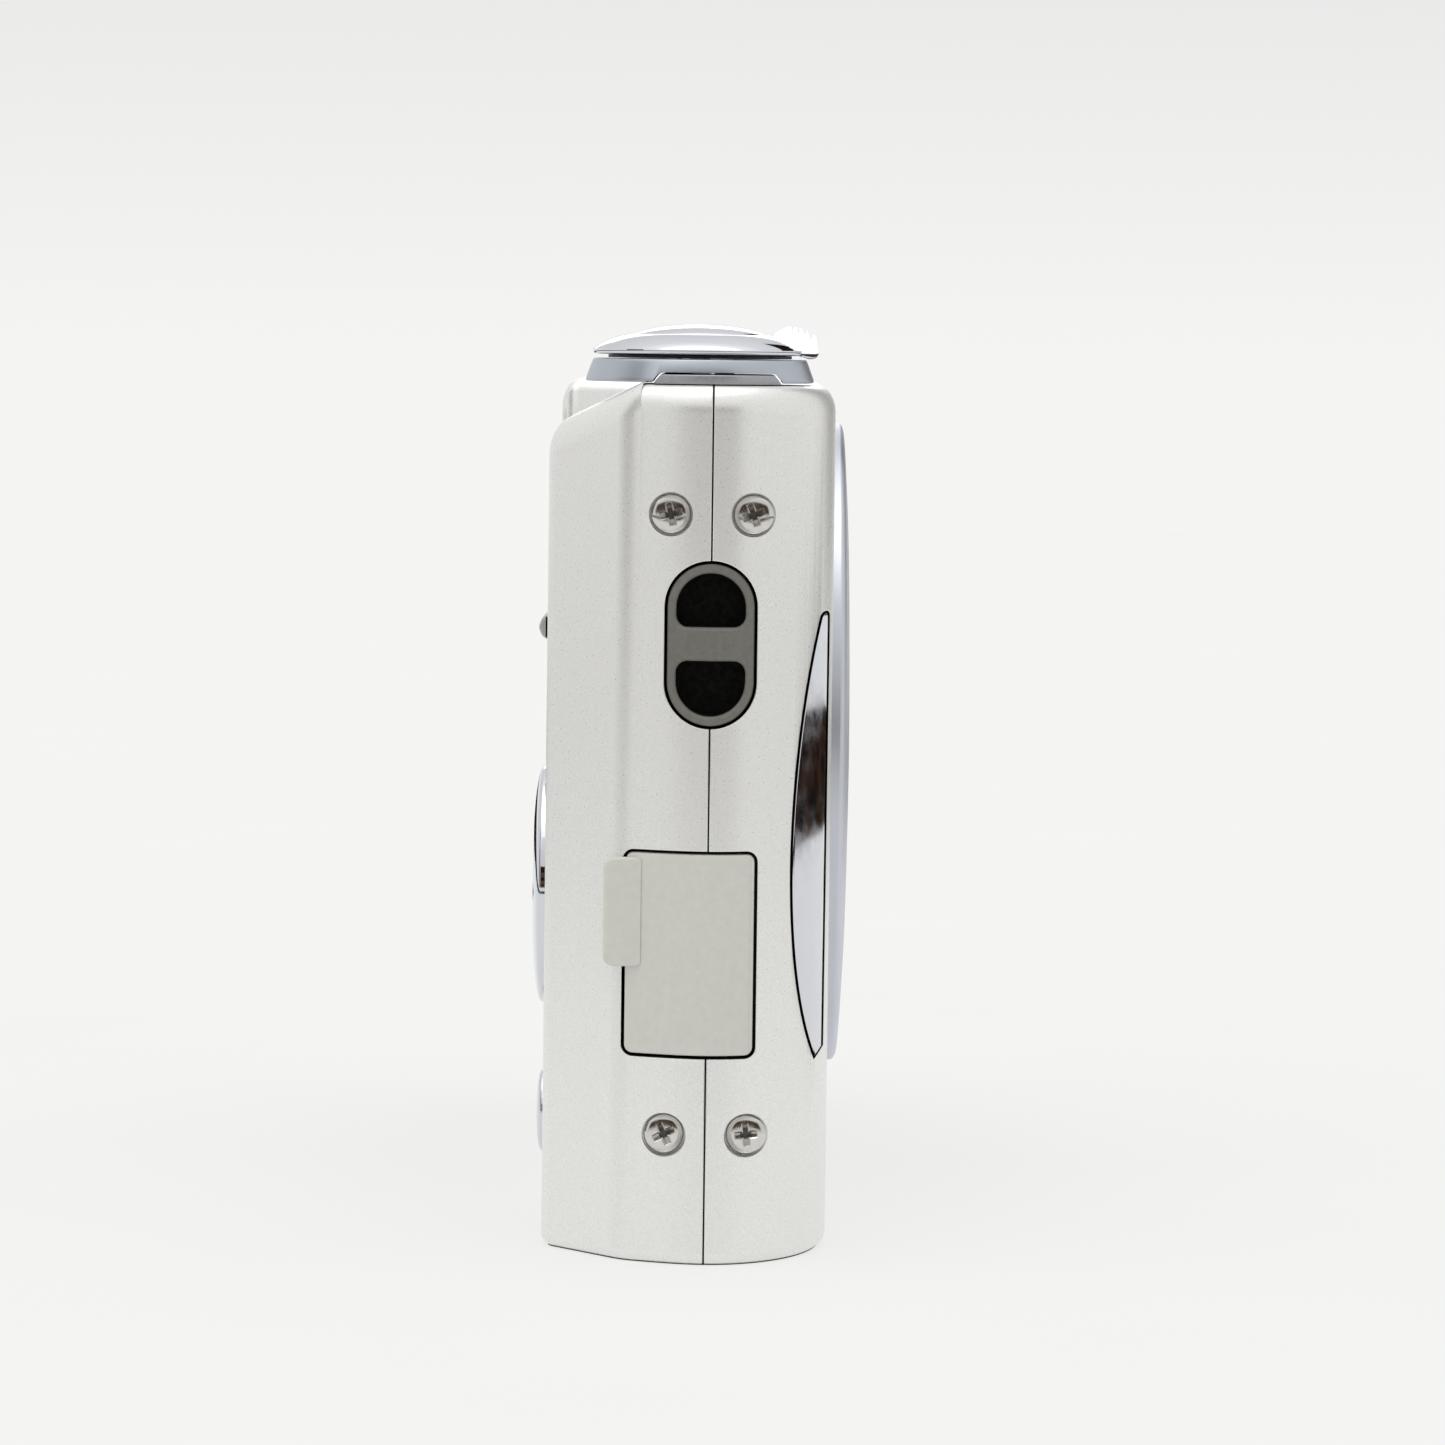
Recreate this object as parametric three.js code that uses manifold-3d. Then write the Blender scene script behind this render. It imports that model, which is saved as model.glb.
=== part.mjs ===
// A compact digital camera with a retracting zoom lens, in millimetres.
//
// X runs along the camera's width, with the grip end at -X; -Y is the front and +Y the rear;
// +Z is up, and the camera stands on its base at Z = 0. "Depth" is the distance forward of the
// plane where the front and rear covers meet, so the front is at positive depth.

import * as THREE from 'three';
import { mergeVertices } from 'three/addons/utils/BufferGeometryUtils.js';
import Module from 'manifold-3d';

const wasm = await Module();
wasm.setup();

// ---------------------------------------------------------------- driving dimensions

// Casing
const WIDTH = 92;
const GRIP_X = -WIDTH / 2;
const FAR_X = WIDTH / 2;
const PARTING_Y = -0.95;
const BODY_HEIGHT = 59.8;
const FRONT = 8.45;
const REAR = -11.3;
const WALL = 1.3;
const ROOF = 1.6;
const FLOOR = 1.4;
const SEAM = 0.1;
const BASE_FILLET = 0.9;
const TOP_FILLET_ACROSS = 1.3;
const TOP_FILLET_DOWN = 2.2;
const GRIP_FRONT_SWEEP = 12;
const FAR_FRONT_SWEEP = 7;
const FAR_REAR_SWEEP = 5;

// Sloping ledge along the rear of the top, from the grip end to the screen
const LEDGE_EDGE = -5.1;
const LEDGE_FALL = 0.49;
const LEDGE_END_X = -6;
const LEDGE_END_RUN = 2.5;

// Shutter release and zoom lever
const RELEASE_X = -35;
const RELEASE_DEPTH = -1;
const COLLAR_BASE_RADIUS = 8.03;
const COLLAR_TOP_RADIUS = 7.52;
const COLLAR_TOP = 61.55;
const LEVER_RADIUS = 7.42;
const LEVER_BOTTOM = 61.82;
const STEM_RADIUS = 2.4;
const BUTTON_RADIUS = 4.6;
const BUTTON_TOP = 63.97;

// Trim strip along the top
const STRIP_SETBACK = 1.45;
const STRIP_END_X = 40;
const STRIP_FRONT = 4.65;
const STRIP_REAR = -4.15;
const STRIP_TAPER = 0.5;
const STRIP_BOTTOM = 59.87;
const STRIP_TOP = 60.5;
const POWER_X = -12;
const POWER_LENGTH = 9;
const POWER_WIDTH = 3.4;
const SPEAKER_X = 35;

// Grip end: screws, strap lug, jack cover and accent
const SCREW_HEAD_RADIUS = 1.36;
const SCREW_SHANK_RADIUS = 0.8;
const COUNTERBORE_RADIUS = 1.5;
const SIDE_SCREW_DEPTH = 2.8;
const SIDE_SCREW_HEIGHTS = [51.1, 8.9];
const GRIP_SCREW_SEAT = 1.7;
const FAR_SCREW_SEAT = 1.35;
const LUG_HALF_WIDTH = 2.95;
const LUG_BOTTOM = 36.8;
const LUG_TOP = 47.8;
const LUG_REACH = 4.4;
const JACK_FRONT = 3.37;
const JACK_REAR = -5.8;
const JACK_BOTTOM = 14.15;
const JACK_TOP = 28.3;
const JACK_COVER_THICKNESS = 1.2;
const TAB_REAR = -7.1;
const TAB_FRONT = -4.3;
const TAB_BOTTOM = 20.3;
const TAB_TOP = 27.75;
const TAB_RISE = 0.65;
const ACCENT_REACH = 11;
const ACCENT_THICKNESS = 0.75;

// Lens
const LENS_X = 8;
const LENS_Z = 32.2;
const BEZEL_RADIUS = 24.4;
const TUBE_OUTER_RADIUS = 15;
const TUBE_INNER_RADIUS = 12.6;
const LENS_MOUTH_RADIUS = 5.3;
const BLADE_PIVOT = 8.6;
const BLADE_RADIUS = 5.7;

// Rear controls and screen
const PAD_X = -27.5;
const PAD_Z = 24.3;
const PAD_RADIUS = 8.4;
const SMALL_BUTTONS = {
  menu_button: { x: -27.5, z: 8.15, radius: 2.93, rise: 0.7 },
  display_button: { x: -17.6, z: 35, radius: 2, rise: 0.05 },
};
const SLIDER_X = -28;
const SLIDER_Z = 42.65;
const STATUS_X = -20;
const STATUS_Z = 51;
const SCREEN = { left: -13, right: 39.4, bottom: 8.6, top: 50.4 };

// Front windows
const FLASH = { left: -27.5, right: -16.5, bottom: 46.8, top: 53.2 };
const LAMP_X = -32.5;
const LAMP_Z = 50;
const LAMP_RADIUS = 1.7;

// Base
const DOOR = { left: -37.8, right: -8.3, rear: -5.8, front: 5.6 };
const DOOR_BOTTOM = 0.3;
const DOOR_TOP = 1.5;
const TRIPOD_X = 8;
const TRIPOD_DEPTH = -1.5;
const TRIPOD_OUTER_RADIUS = 5;
const TRIPOD_BORE_RADIUS = 3.1;
const BASE_SCREW_SEAT = 1.1;
const BASE_SCREWS = [[31, -6], [31, 4.4], [-2.5, 4.4]];

// Smoothness of the curves
const PLAN_STEPS = 6;
const LUG_STEPS = 4;
const ACCENT_STEPS = 12;

// Clearances
const FIT_GAP = 0.2;
const FINE_GAP = 0.15;
const BEYOND = 4;

// ---------------------------------------------------------------- finishes

const FINISHES = {
  silverPaint: { color: 0xd2d2ce, roughness: 0.42, metalness: 0.55 },
  satinGrey: { color: 0x7d8088, roughness: 0.4, metalness: 0.6 },
  blueChrome: { color: 0xa9afba, roughness: 0.15, metalness: 0.95 },
  chrome: { color: 0xdfe1e5, roughness: 0.08, metalness: 1 },
  nickel: { color: 0xc6c6c4, roughness: 0.22, metalness: 1 },
  warmGreyPlastic: { color: 0x69675f, roughness: 0.6, metalness: 0.1 },
  paleRubber: { color: 0xc6c6be, roughness: 0.75, metalness: 0 },
  blackPlastic: { color: 0x1b1b1d, roughness: 0.55, metalness: 0 },
  anodised: { color: 0x8c9097, roughness: 0.3, metalness: 0.85 },
  glass: { color: 0x20242c, roughness: 0.03, metalness: 0.1 },
  clearPlastic: { color: 0xe6ebee, roughness: 0.05, metalness: 0 },
  screenPlastic: { color: 0x0d0f12, roughness: 0.08, metalness: 0 },
  greyPlastic: { color: 0x9a9b9d, roughness: 0.5, metalness: 0.1 },
  steel: { color: 0x9b9ea2, roughness: 0.35, metalness: 0.95 },
  circuitBoard: { color: 0x1f5a38, roughness: 0.55, metalness: 0 },
  batteryWrap: { color: 0x34373d, roughness: 0.6, metalness: 0 },
};

// ---------------------------------------------------------------- shape helpers

// Closed solid, facing out, from any closed three.js geometry.
function solid(geometry) {
  geometry.deleteAttribute('normal');
  geometry.deleteAttribute('uv');
  const welded = mergeVertices(geometry, 1e-4);
  const positions = welded.attributes.position.array;
  const corner = (i) => new THREE.Vector3().fromArray(positions, 3 * i);
  const triangles = [];
  let volume = 0;
  for (let i = 0; i < welded.index.count; i += 3) {
    const [a, b, c] = welded.index.array.slice(i, i + 3);
    if (a !== b && b !== c && c !== a) {
      triangles.push([a, b, c]);
      volume += corner(a).dot(corner(b).cross(corner(c)));
    }
  }
  const outward = volume > 0 ? triangles : triangles.map(([a, b, c]) => [a, c, b]);
  return new wasm.Manifold(new wasm.Mesh({
    numProp: 3,
    vertProperties: new Float32Array(positions),
    triVerts: new Uint32Array(outward.flat()),
  }));
}

function join(first, ...others) {
  return others.reduce((sum, other) => sum.add(other), first);
}

function cut(first, ...others) {
  return others.reduce((rest, other) => rest.subtract(other), first);
}

// Box between two x, two depths and two heights.
function block(x0, x1, depth0, depth1, z0, z1) {
  const box = new THREE.BoxGeometry(x1 - x0, depth1 - depth0, z1 - z0);
  return solid(box.translate((x0 + x1) / 2, -(depth0 + depth1) / 2, (z0 + z1) / 2));
}

// Extrusion of an outline. It can be grown by an offset, have both ends rounded by a fillet
// that is so far across and so far along, and take more steps round each curve.
function extruded(outline, length, { offset = 0, fillet = null, steps = 2 }) {
  const across = fillet ? fillet.across : 0;
  const along = fillet ? fillet.along : 0;
  return new THREE.ExtrudeGeometry(outline, {
    depth: length - 2 * along,
    curveSegments: steps,
    bevelEnabled: true,
    bevelThickness: along,
    bevelSize: across,
    bevelOffset: offset - across,
    bevelSegments: fillet ? fillet.steps : 0,
  }).translate(0, 0, along);
}

// Outline in x and y, swept up from z0 to z1.
function risen(outline, z0, z1, options = {}) {
  return solid(extruded(outline, z1 - z0, options).translate(0, 0, z0));
}

// Outline in x and z, swept forward from depth0 to depth1.
function swept(outline, depth0, depth1, options = {}) {
  const shape = extruded(outline, depth1 - depth0, options);
  return solid(shape.rotateX(Math.PI / 2).translate(0, -depth0, 0));
}

// Outline in depth and z, swept along the width from x0 to x1.
function lengthwise(outline, x0, x1, options = {}) {
  const shape = extruded(outline, x1 - x0, options);
  const turn = new THREE.Matrix4().makeBasis(
    new THREE.Vector3(0, -1, 0),
    new THREE.Vector3(0, 0, 1),
    new THREE.Vector3(-1, 0, 0),
  );
  return solid(shape.applyMatrix4(turn).translate(x1, 0, 0));
}

// Closed profile of [radius, position] points, turned about an axis.
function lathe(profile, segments) {
  const points = profile.map(([radius, along]) => new THREE.Vector2(radius, along));
  return new THREE.LatheGeometry([...points, points[0]], segments);
}

// Turned about the upright axis at x and depth; positions are heights.
function turnedUp(profile, x = 0, depth = 0, segments = 20) {
  return solid(lathe(profile, segments).rotateX(Math.PI / 2).translate(x, -depth, 0));
}

// Turned about the front-to-back axis at x and z; positions are depths.
function turnedForward(profile, x = 0, z = 0, segments = 20) {
  return solid(lathe(profile, segments).rotateZ(Math.PI).translate(x, 0, z));
}

// Turned about the lengthwise axis at depth and z; positions are x.
function turnedAlong(profile, depth, z, segments = 18) {
  return solid(lathe(profile, segments).rotateZ(-Math.PI / 2).translate(0, -depth, z));
}

// Profile of a plain pin or disc.
const rod = (radius, from, to) => [[0, from], [radius, from], [radius, to], [0, to]];

// Profile of a plain ring.
const ring = (inner, outer, from, to) => [[inner, from], [outer, from], [outer, to], [inner, to]];

// Rectangle with round corners between two a and two b.
function roundedRectangle(a0, a1, b0, b1, radius) {
  const outline = new THREE.Shape();
  outline.absarc(a1 - radius, b0 + radius, radius, -Math.PI / 2, 0);
  outline.absarc(a1 - radius, b1 - radius, radius, 0, Math.PI / 2);
  outline.absarc(a0 + radius, b1 - radius, radius, Math.PI / 2, Math.PI);
  outline.absarc(a0 + radius, b0 + radius, radius, Math.PI, 1.5 * Math.PI);
  return outline;
}

function polygon(points) {
  return new THREE.Shape(points.map(([a, b]) => new THREE.Vector2(a, b)));
}

// ---------------------------------------------------------------- scene graph helpers

const part = new THREE.Group();
const camera = new THREE.Group();
camera.position.y = PARTING_Y;
part.add(camera);

function subPart(name, body, finish, parent = camera) {
  const shape = body.getMesh();
  const geometry = new THREE.BufferGeometry();
  geometry.setAttribute('position', new THREE.Float32BufferAttribute(shape.vertProperties, 3));
  geometry.setIndex(new THREE.Uint32BufferAttribute(shape.triVerts, 1));
  geometry.computeVertexNormals();
  const mesh = new THREE.Mesh(geometry, new THREE.MeshStandardMaterial(FINISHES[finish]));
  mesh.name = name;
  parent.add(mesh);
  return mesh;
}

function assembly(x, depth, z) {
  const group = new THREE.Group();
  group.position.set(x, -depth, z);
  camera.add(group);
  return group;
}

// ---------------------------------------------------------------- the casing's outer form

// The casing seen from above: a swept nose at the grip's front, a gently bowed grip end,
// a slanted facet at the grip's rear, and a rounded far end. The corners at each end of the
// facet are rounded by a curve between a point just before the corner and one just after it.
function casingPlan() {
  const ridge = { in: 1.95, depth: -5.95 };
  const facetSlope = 1.16;
  const facetEnd = ridge.in + facetSlope * (ridge.depth - REAR);
  const plan = new THREE.Shape();
  plan.moveTo(GRIP_X, 0);
  plan.absellipse(GRIP_X + GRIP_FRONT_SWEEP, 0, GRIP_FRONT_SWEEP, FRONT, Math.PI, 1.5 * Math.PI);
  plan.absellipse(FAR_X - FAR_FRONT_SWEEP, 0, FAR_FRONT_SWEEP, FRONT, 1.5 * Math.PI, 2 * Math.PI);
  plan.absellipse(FAR_X - FAR_REAR_SWEEP, 0, FAR_REAR_SWEEP, -REAR, 0, Math.PI / 2);
  plan.lineTo(GRIP_X + facetEnd + 0.85, -REAR);
  plan.quadraticCurveTo(GRIP_X + facetEnd, -REAR, GRIP_X + facetEnd - 0.66, -REAR - 0.57);
  plan.lineTo(GRIP_X + ridge.in + 0.83, -ridge.depth + 0.72);
  plan.quadraticCurveTo(GRIP_X + ridge.in, -ridge.depth, GRIP_X + 1.5, 5);
  plan.lineTo(GRIP_X + 1.1, 4.1);
  plan.quadraticCurveTo(GRIP_X, 1.6, GRIP_X, 0);
  return plan;
}

const PLAN = casingPlan();

// The casing's upright walls, without its top and bottom, grown or shrunk by an offset.
function casingWalls(offset) {
  return risen(PLAN, -BEYOND, BODY_HEIGHT + BEYOND, { offset, steps: PLAN_STEPS });
}

// What is cut away above the sloping ledge; lowered by a drop for the hollow under it.
function aboveLedge(drop) {
  const top = BODY_HEIGHT + BEYOND;
  const run = -(REAR - BEYOND) + LEDGE_EDGE;
  const section = polygon([
    [LEDGE_EDGE, BODY_HEIGHT - drop],
    [LEDGE_EDGE, top],
    [REAR - BEYOND, top],
    [REAR - BEYOND, BODY_HEIGHT - drop - LEDGE_FALL * run],
  ]);
  const slope = LEDGE_END_RUN / 3;
  const profile = polygon([
    [GRIP_X - BEYOND, BODY_HEIGHT - 10],
    [LEDGE_END_X + drop - slope * 2, BODY_HEIGHT - 10],
    [LEDGE_END_X + drop + LEDGE_END_RUN, top],
    [GRIP_X - BEYOND, top],
  ]);
  const wedge = lengthwise(section, GRIP_X - BEYOND, LEDGE_END_X + LEDGE_END_RUN + 10);
  return wedge.intersect(swept(profile, REAR - 2 * BEYOND, FRONT));
}

function casingOuter() {
  const baseFillet = { across: BASE_FILLET, along: BASE_FILLET, steps: 2 };
  const topFillet = { across: TOP_FILLET_ACROSS, along: TOP_FILLET_DOWN, steps: 3 };
  const fromBase = risen(PLAN, 0, BODY_HEIGHT + 2 * BEYOND, { fillet: baseFillet, steps: PLAN_STEPS });
  const fromTop = risen(PLAN, -2 * BEYOND, BODY_HEIGHT, { fillet: topFillet, steps: PLAN_STEPS });
  return cut(fromBase.intersect(fromTop), aboveLedge(0));
}

// Bosses that thicken the end walls and the floor round each screw.
function screwBosses() {
  const bosses = [];
  for (const side of [-1, 1]) {
    const inner = 1.1 * side;
    const outer = 4.7 * side;
    const [depth0, depth1] = [Math.min(inner, outer), Math.max(inner, outer)];
    for (const z of SIDE_SCREW_HEIGHTS) {
      bosses.push(block(GRIP_X, GRIP_X + 4, depth0, depth1, z - 2, z + 2));
      bosses.push(block(FAR_X - 4, FAR_X, depth0, depth1, z - 2, z + 2));
    }
  }
  for (const [x, depth] of BASE_SCREWS) {
    bosses.push(turnedUp(rod(2.1, 0, 3.6), x, depth, 12));
  }
  return bosses;
}

function casingHollow() {
  const inside = risen(PLAN, FLOOR, BODY_HEIGHT - ROOF, { offset: -WALL, steps: PLAN_STEPS });
  return cut(inside, aboveLedge(ROOF), ...screwBosses());
}

// Counterbore and clearance hole of one side screw.
function sideScrewHole(endX, inward, seat, depth, z) {
  const seatX = endX + inward * seat;
  const outside = [seatX, endX - inward * BEYOND].sort((a, b) => a - b);
  const through = [seatX - inward * 0.1, endX + inward * 5].sort((a, b) => a - b);
  return [
    turnedAlong(rod(COUNTERBORE_RADIUS, ...outside), depth, z),
    turnedAlong(rod(SCREW_SHANK_RADIUS + FINE_GAP, ...through), depth, z, 12),
  ];
}

function screwHoles() {
  const holes = [];
  for (const depth of [SIDE_SCREW_DEPTH, -SIDE_SCREW_DEPTH]) {
    for (const z of SIDE_SCREW_HEIGHTS) {
      holes.push(...sideScrewHole(GRIP_X, 1, GRIP_SCREW_SEAT, depth, z));
      holes.push(...sideScrewHole(FAR_X, -1, FAR_SCREW_SEAT, depth, z));
    }
  }
  for (const [x, depth] of BASE_SCREWS) {
    holes.push(turnedUp(rod(COUNTERBORE_RADIUS, -BEYOND, BASE_SCREW_SEAT), x, depth, 18));
    holes.push(turnedUp(rod(SCREW_SHANK_RADIUS + FINE_GAP, 0, 5), x, depth, 12));
  }
  return holes;
}

// Rectangle with fully round ends at its two short sides.
function stadium(a0, a1, b0, b1) {
  const outline = new THREE.Shape();
  const radius = Math.min(a1 - a0, b1 - b0) / 2;
  const start = a1 - a0 > b1 - b0 ? -Math.PI / 2 : 0;
  outline.absarc(a1 - radius, b1 - radius, radius, start, start + Math.PI);
  outline.absarc(a0 + radius, b0 + radius, radius, start + Math.PI, start + 2 * Math.PI);
  return outline;
}

function powerOutline() {
  const halfLength = POWER_LENGTH / 2;
  const halfWidth = POWER_WIDTH / 2;
  return stadium(POWER_X - halfLength, POWER_X + halfLength, -halfWidth, halfWidth);
}

function lugOutline() {
  return stadium(-LUG_HALF_WIDTH, LUG_HALF_WIDTH, LUG_BOTTOM, LUG_TOP);
}

// The crescent set into the grip's front corner, seen from the grip end.
function accentOutline() {
  const outline = new THREE.Shape();
  outline.moveTo(7.95, 14.3);
  outline.lineTo(8.02, 43.9);
  outline.quadraticCurveTo(7.95, 44.3, 7.65, 43.9);
  outline.bezierCurveTo(5.6, 35.5, 4.75, 21.2, 7.5, 13.8);
  return outline;
}

// Openings that run through both covers: lug, jacks, release, tripod bush, battery and screws.
function sharedOpenings() {
  const jackWindow = roundedRectangle(JACK_REAR, JACK_FRONT, JACK_BOTTOM, JACK_TOP, 0.6);
  const door = roundedRectangle(DOOR.left, DOOR.right, -DOOR.front, -DOOR.rear, 1.2);
  return [
    lengthwise(lugOutline(), GRIP_X - BEYOND, GRIP_X + 6, { offset: FIT_GAP, steps: LUG_STEPS }),
    lengthwise(jackWindow, GRIP_X - BEYOND, GRIP_X + 6),
    turnedUp(rod(STEM_RADIUS + 0.3, BODY_HEIGHT - 3, BODY_HEIGHT + 1), RELEASE_X, RELEASE_DEPTH),
    turnedUp(rod(TRIPOD_OUTER_RADIUS + FINE_GAP, -1, 3), TRIPOD_X, TRIPOD_DEPTH),
    risen(door, -1, 2, { offset: 0.25 }),
    risen(powerOutline(), BODY_HEIGHT - 3, BODY_HEIGHT + 1, { offset: FIT_GAP }),
    block(SPEAKER_X - 3.5, SPEAKER_X + 3.5, -1.2, 1.2, BODY_HEIGHT - 3, BODY_HEIGHT + 1),
    ...screwHoles(),
  ];
}

// ---------------------------------------------------------------- covers

const OUTER = casingOuter();
const HOLLOW = casingHollow();
const OPENINGS = sharedOpenings();

function makeFrontCover() {
  const half = block(GRIP_X - 1, FAR_X + 1, SEAM / 2, FRONT + 1, -1, BODY_HEIGHT + 1);
  const shell = cut(OUTER.intersect(half), HOLLOW);
  const pocketReach = ACCENT_REACH + 0.4;
  const accentPocket = cut(
    lengthwise(accentOutline(), GRIP_X - 1, GRIP_X + pocketReach, { offset: 0.17, steps: ACCENT_STEPS }),
    casingWalls(FINE_GAP - ACCENT_THICKNESS - 0.35),
  );
  const flash = roundedRectangle(FLASH.left, FLASH.right, FLASH.bottom, FLASH.top, 1);
  const lensHole = turnedForward(rod(16.6, 5, 10), LENS_X, LENS_Z, 36);
  const flashHole = swept(flash, 5, 10, { offset: FINE_GAP });
  const lampHole = turnedForward(rod(LAMP_RADIUS + FINE_GAP, 5, 10), LAMP_X, LAMP_Z);
  return cut(shell, accentPocket, lensHole, flashHole, lampHole, ...OPENINGS);
}

function makeRearCover() {
  const half = block(GRIP_X - 1, FAR_X + 1, REAR - 1, -SEAM / 2, -1, BODY_HEIGHT + 1);
  const shell = cut(OUTER.intersect(half), HOLLOW);
  const screen = roundedRectangle(SCREEN.left, SCREEN.right, SCREEN.bottom, SCREEN.top, 1.5);
  const screenHole = swept(screen, REAR - 1, -9, { offset: FINE_GAP });
  const padHole = turnedForward(rod(PAD_RADIUS + 0.25, REAR - 1, -9), PAD_X, PAD_Z, 36);
  const buttonHoles = Object.values(SMALL_BUTTONS).map(({ x, z, radius }) => (
    turnedForward(rod(radius + FIT_GAP, REAR - 1, -9), x, z)
  ));
  const sliderHole = block(SLIDER_X - 4.2, SLIDER_X + 4.2, REAR - 1, -9, SLIDER_Z - 0.75, SLIDER_Z + 0.75);
  const statusHole = turnedForward(rod(1.05, REAR - 1, -9), STATUS_X, STATUS_Z, 16);
  return cut(shell, screenHole, padHole, ...buttonHoles, sliderHole, statusHole, ...OPENINGS);
}

subPart('front_cover', makeFrontCover(), 'silverPaint');
subPart('rear_cover', makeRearCover(), 'silverPaint');

// ---------------------------------------------------------------- top: strip, release, zoom lever

// The strip's cross-section, with a slight taper to its top.
function stripSection() {
  return polygon([
    [STRIP_REAR, STRIP_BOTTOM],
    [STRIP_FRONT, STRIP_BOTTOM],
    [STRIP_FRONT - STRIP_TAPER, STRIP_TOP],
    [STRIP_REAR + STRIP_TAPER, STRIP_TOP],
  ]);
}

function makeTopStrip() {
  const bar = lengthwise(stripSection(), GRIP_X, STRIP_END_X);
  const strip = bar.intersect(casingWalls(-STRIP_SETBACK));
  const stemHole = turnedUp(rod(STEM_RADIUS + 0.3, 59, 62), RELEASE_X, RELEASE_DEPTH, 24);
  const powerHole = risen(powerOutline(), 59, 62, { offset: FIT_GAP });
  const soundHoles = [-3, -1.5, 0, 1.5, 3].map((shift) => (
    turnedUp(rod(0.45, 59, 62), SPEAKER_X + shift, 0, 8)
  ));
  return cut(strip, stemHole, powerHole, ...soundHoles);
}

subPart('top_strip', makeTopStrip(), 'satinGrey');

const release = assembly(RELEASE_X, RELEASE_DEPTH, 0);

function makeCollar() {
  const body = turnedUp([
    [STEM_RADIUS + 0.3, 59.95],
    [COLLAR_BASE_RADIUS, 59.95],
    [COLLAR_BASE_RADIUS, 60.2],
    [COLLAR_TOP_RADIUS + 0.1, COLLAR_TOP - 0.15],
    [COLLAR_TOP_RADIUS - 0.1, COLLAR_TOP],
    [STEM_RADIUS + 0.3, COLLAR_TOP],
  ], 0, 0, 40);
  const channelGap = 0.13;
  const reach = COLLAR_BASE_RADIUS + 2;
  const channel = lengthwise(stripSection(), -reach, reach, { offset: channelGap });
  const fromRelease = (shape) => shape.translate([0, RELEASE_DEPTH, 0]);
  return cut(body, fromRelease(channel));
}

function makeZoomLever() {
  const disc = turnedUp([
    [STEM_RADIUS - 0.7, 57.4],
    [STEM_RADIUS, 57.4],
    [STEM_RADIUS, LEVER_BOTTOM],
    [LEVER_RADIUS - 0.2, LEVER_BOTTOM],
    [LEVER_RADIUS, LEVER_BOTTOM + 0.15],
    [LEVER_RADIUS, LEVER_BOTTOM + 0.35],
    [6.95, 62.58],
    [6.2, 62.97],
    [5.4, 63.2],
    [BUTTON_RADIUS + 0.2, 63.28],
    [BUTTON_RADIUS + 0.2, 62.35],
    [STEM_RADIUS - 0.7, 62.35],
  ], 0, 0, 36);
  const tabSection = polygon([
    [5.2, 62.5],
    [5.2, 63.3],
    [5.85, 63.78],
    [6.2, 63.88],
    [7.35, 63.66],
    [8.1, 63.15],
    [8.1, 61.87],
    [7.6, 61.87],
    [7.2, 62],
  ]);
  return join(disc, lengthwise(tabSection, -2.3, 2.3));
}

function makeShutterButton() {
  return turnedUp([
    [0, 56.6],
    [1.4, 56.6],
    [1.4, 62.9],
    [BUTTON_RADIUS, 62.9],
    [BUTTON_RADIUS, 63.4],
    [4.1, 63.6],
    [3.05, 63.77],
    [1.6, 63.91],
    [0, BUTTON_TOP],
  ], 0, 0, 28);
}

subPart('zoom_collar', makeCollar(), 'blueChrome', release);
subPart('zoom_lever', makeZoomLever(), 'chrome', release);
subPart('shutter_button', makeShutterButton(), 'chrome', release);

function makePowerButton() {
  const fillet = { across: 0.25, along: 0.25, steps: 1 };
  return risen(powerOutline(), 57.5, STRIP_TOP + 0.4, { fillet });
}

subPart('power_button', makePowerButton(), 'chrome');

// ---------------------------------------------------------------- grip end

function makeStrapLug() {
  const post = lengthwise(lugOutline(), GRIP_X - 1, GRIP_X + LUG_REACH, { steps: LUG_STEPS });
  const body = post.intersect(casingWalls(-0.05));
  const holeHalfWidth = 2.35;
  const cornerRadius = 0.7;
  const barBottom = 41.2;
  const barTop = 43.5;
  const low = LUG_BOTTOM + 0.65;
  const high = LUG_TOP - 0.65;
  const upper = new THREE.Shape();
  upper.absarc(holeHalfWidth - cornerRadius, barTop + cornerRadius, cornerRadius, -Math.PI / 2, 0);
  upper.absarc(0, high - holeHalfWidth, holeHalfWidth, 0, Math.PI);
  upper.absarc(cornerRadius - holeHalfWidth, barTop + cornerRadius, cornerRadius, Math.PI, 1.5 * Math.PI);
  const lower = new THREE.Shape();
  lower.absarc(cornerRadius - holeHalfWidth, barBottom - cornerRadius, cornerRadius, Math.PI / 2, Math.PI);
  lower.absarc(0, low + holeHalfWidth, holeHalfWidth, Math.PI, 2 * Math.PI);
  lower.absarc(holeHalfWidth - cornerRadius, barBottom - cornerRadius, cornerRadius, 0, Math.PI / 2);
  const holeEnd = GRIP_X + LUG_REACH - 0.9;
  const passage = block(GRIP_X + 1.9, holeEnd, -2, 2, barBottom - 1.5, barTop + 1.5);
  return cut(
    body,
    lengthwise(upper, GRIP_X - 1, holeEnd, { steps: LUG_STEPS }),
    lengthwise(lower, GRIP_X - 1, holeEnd, { steps: LUG_STEPS }),
    passage,
  );
}

subPart('strap_lug', makeStrapLug(), 'warmGreyPlastic');

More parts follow.
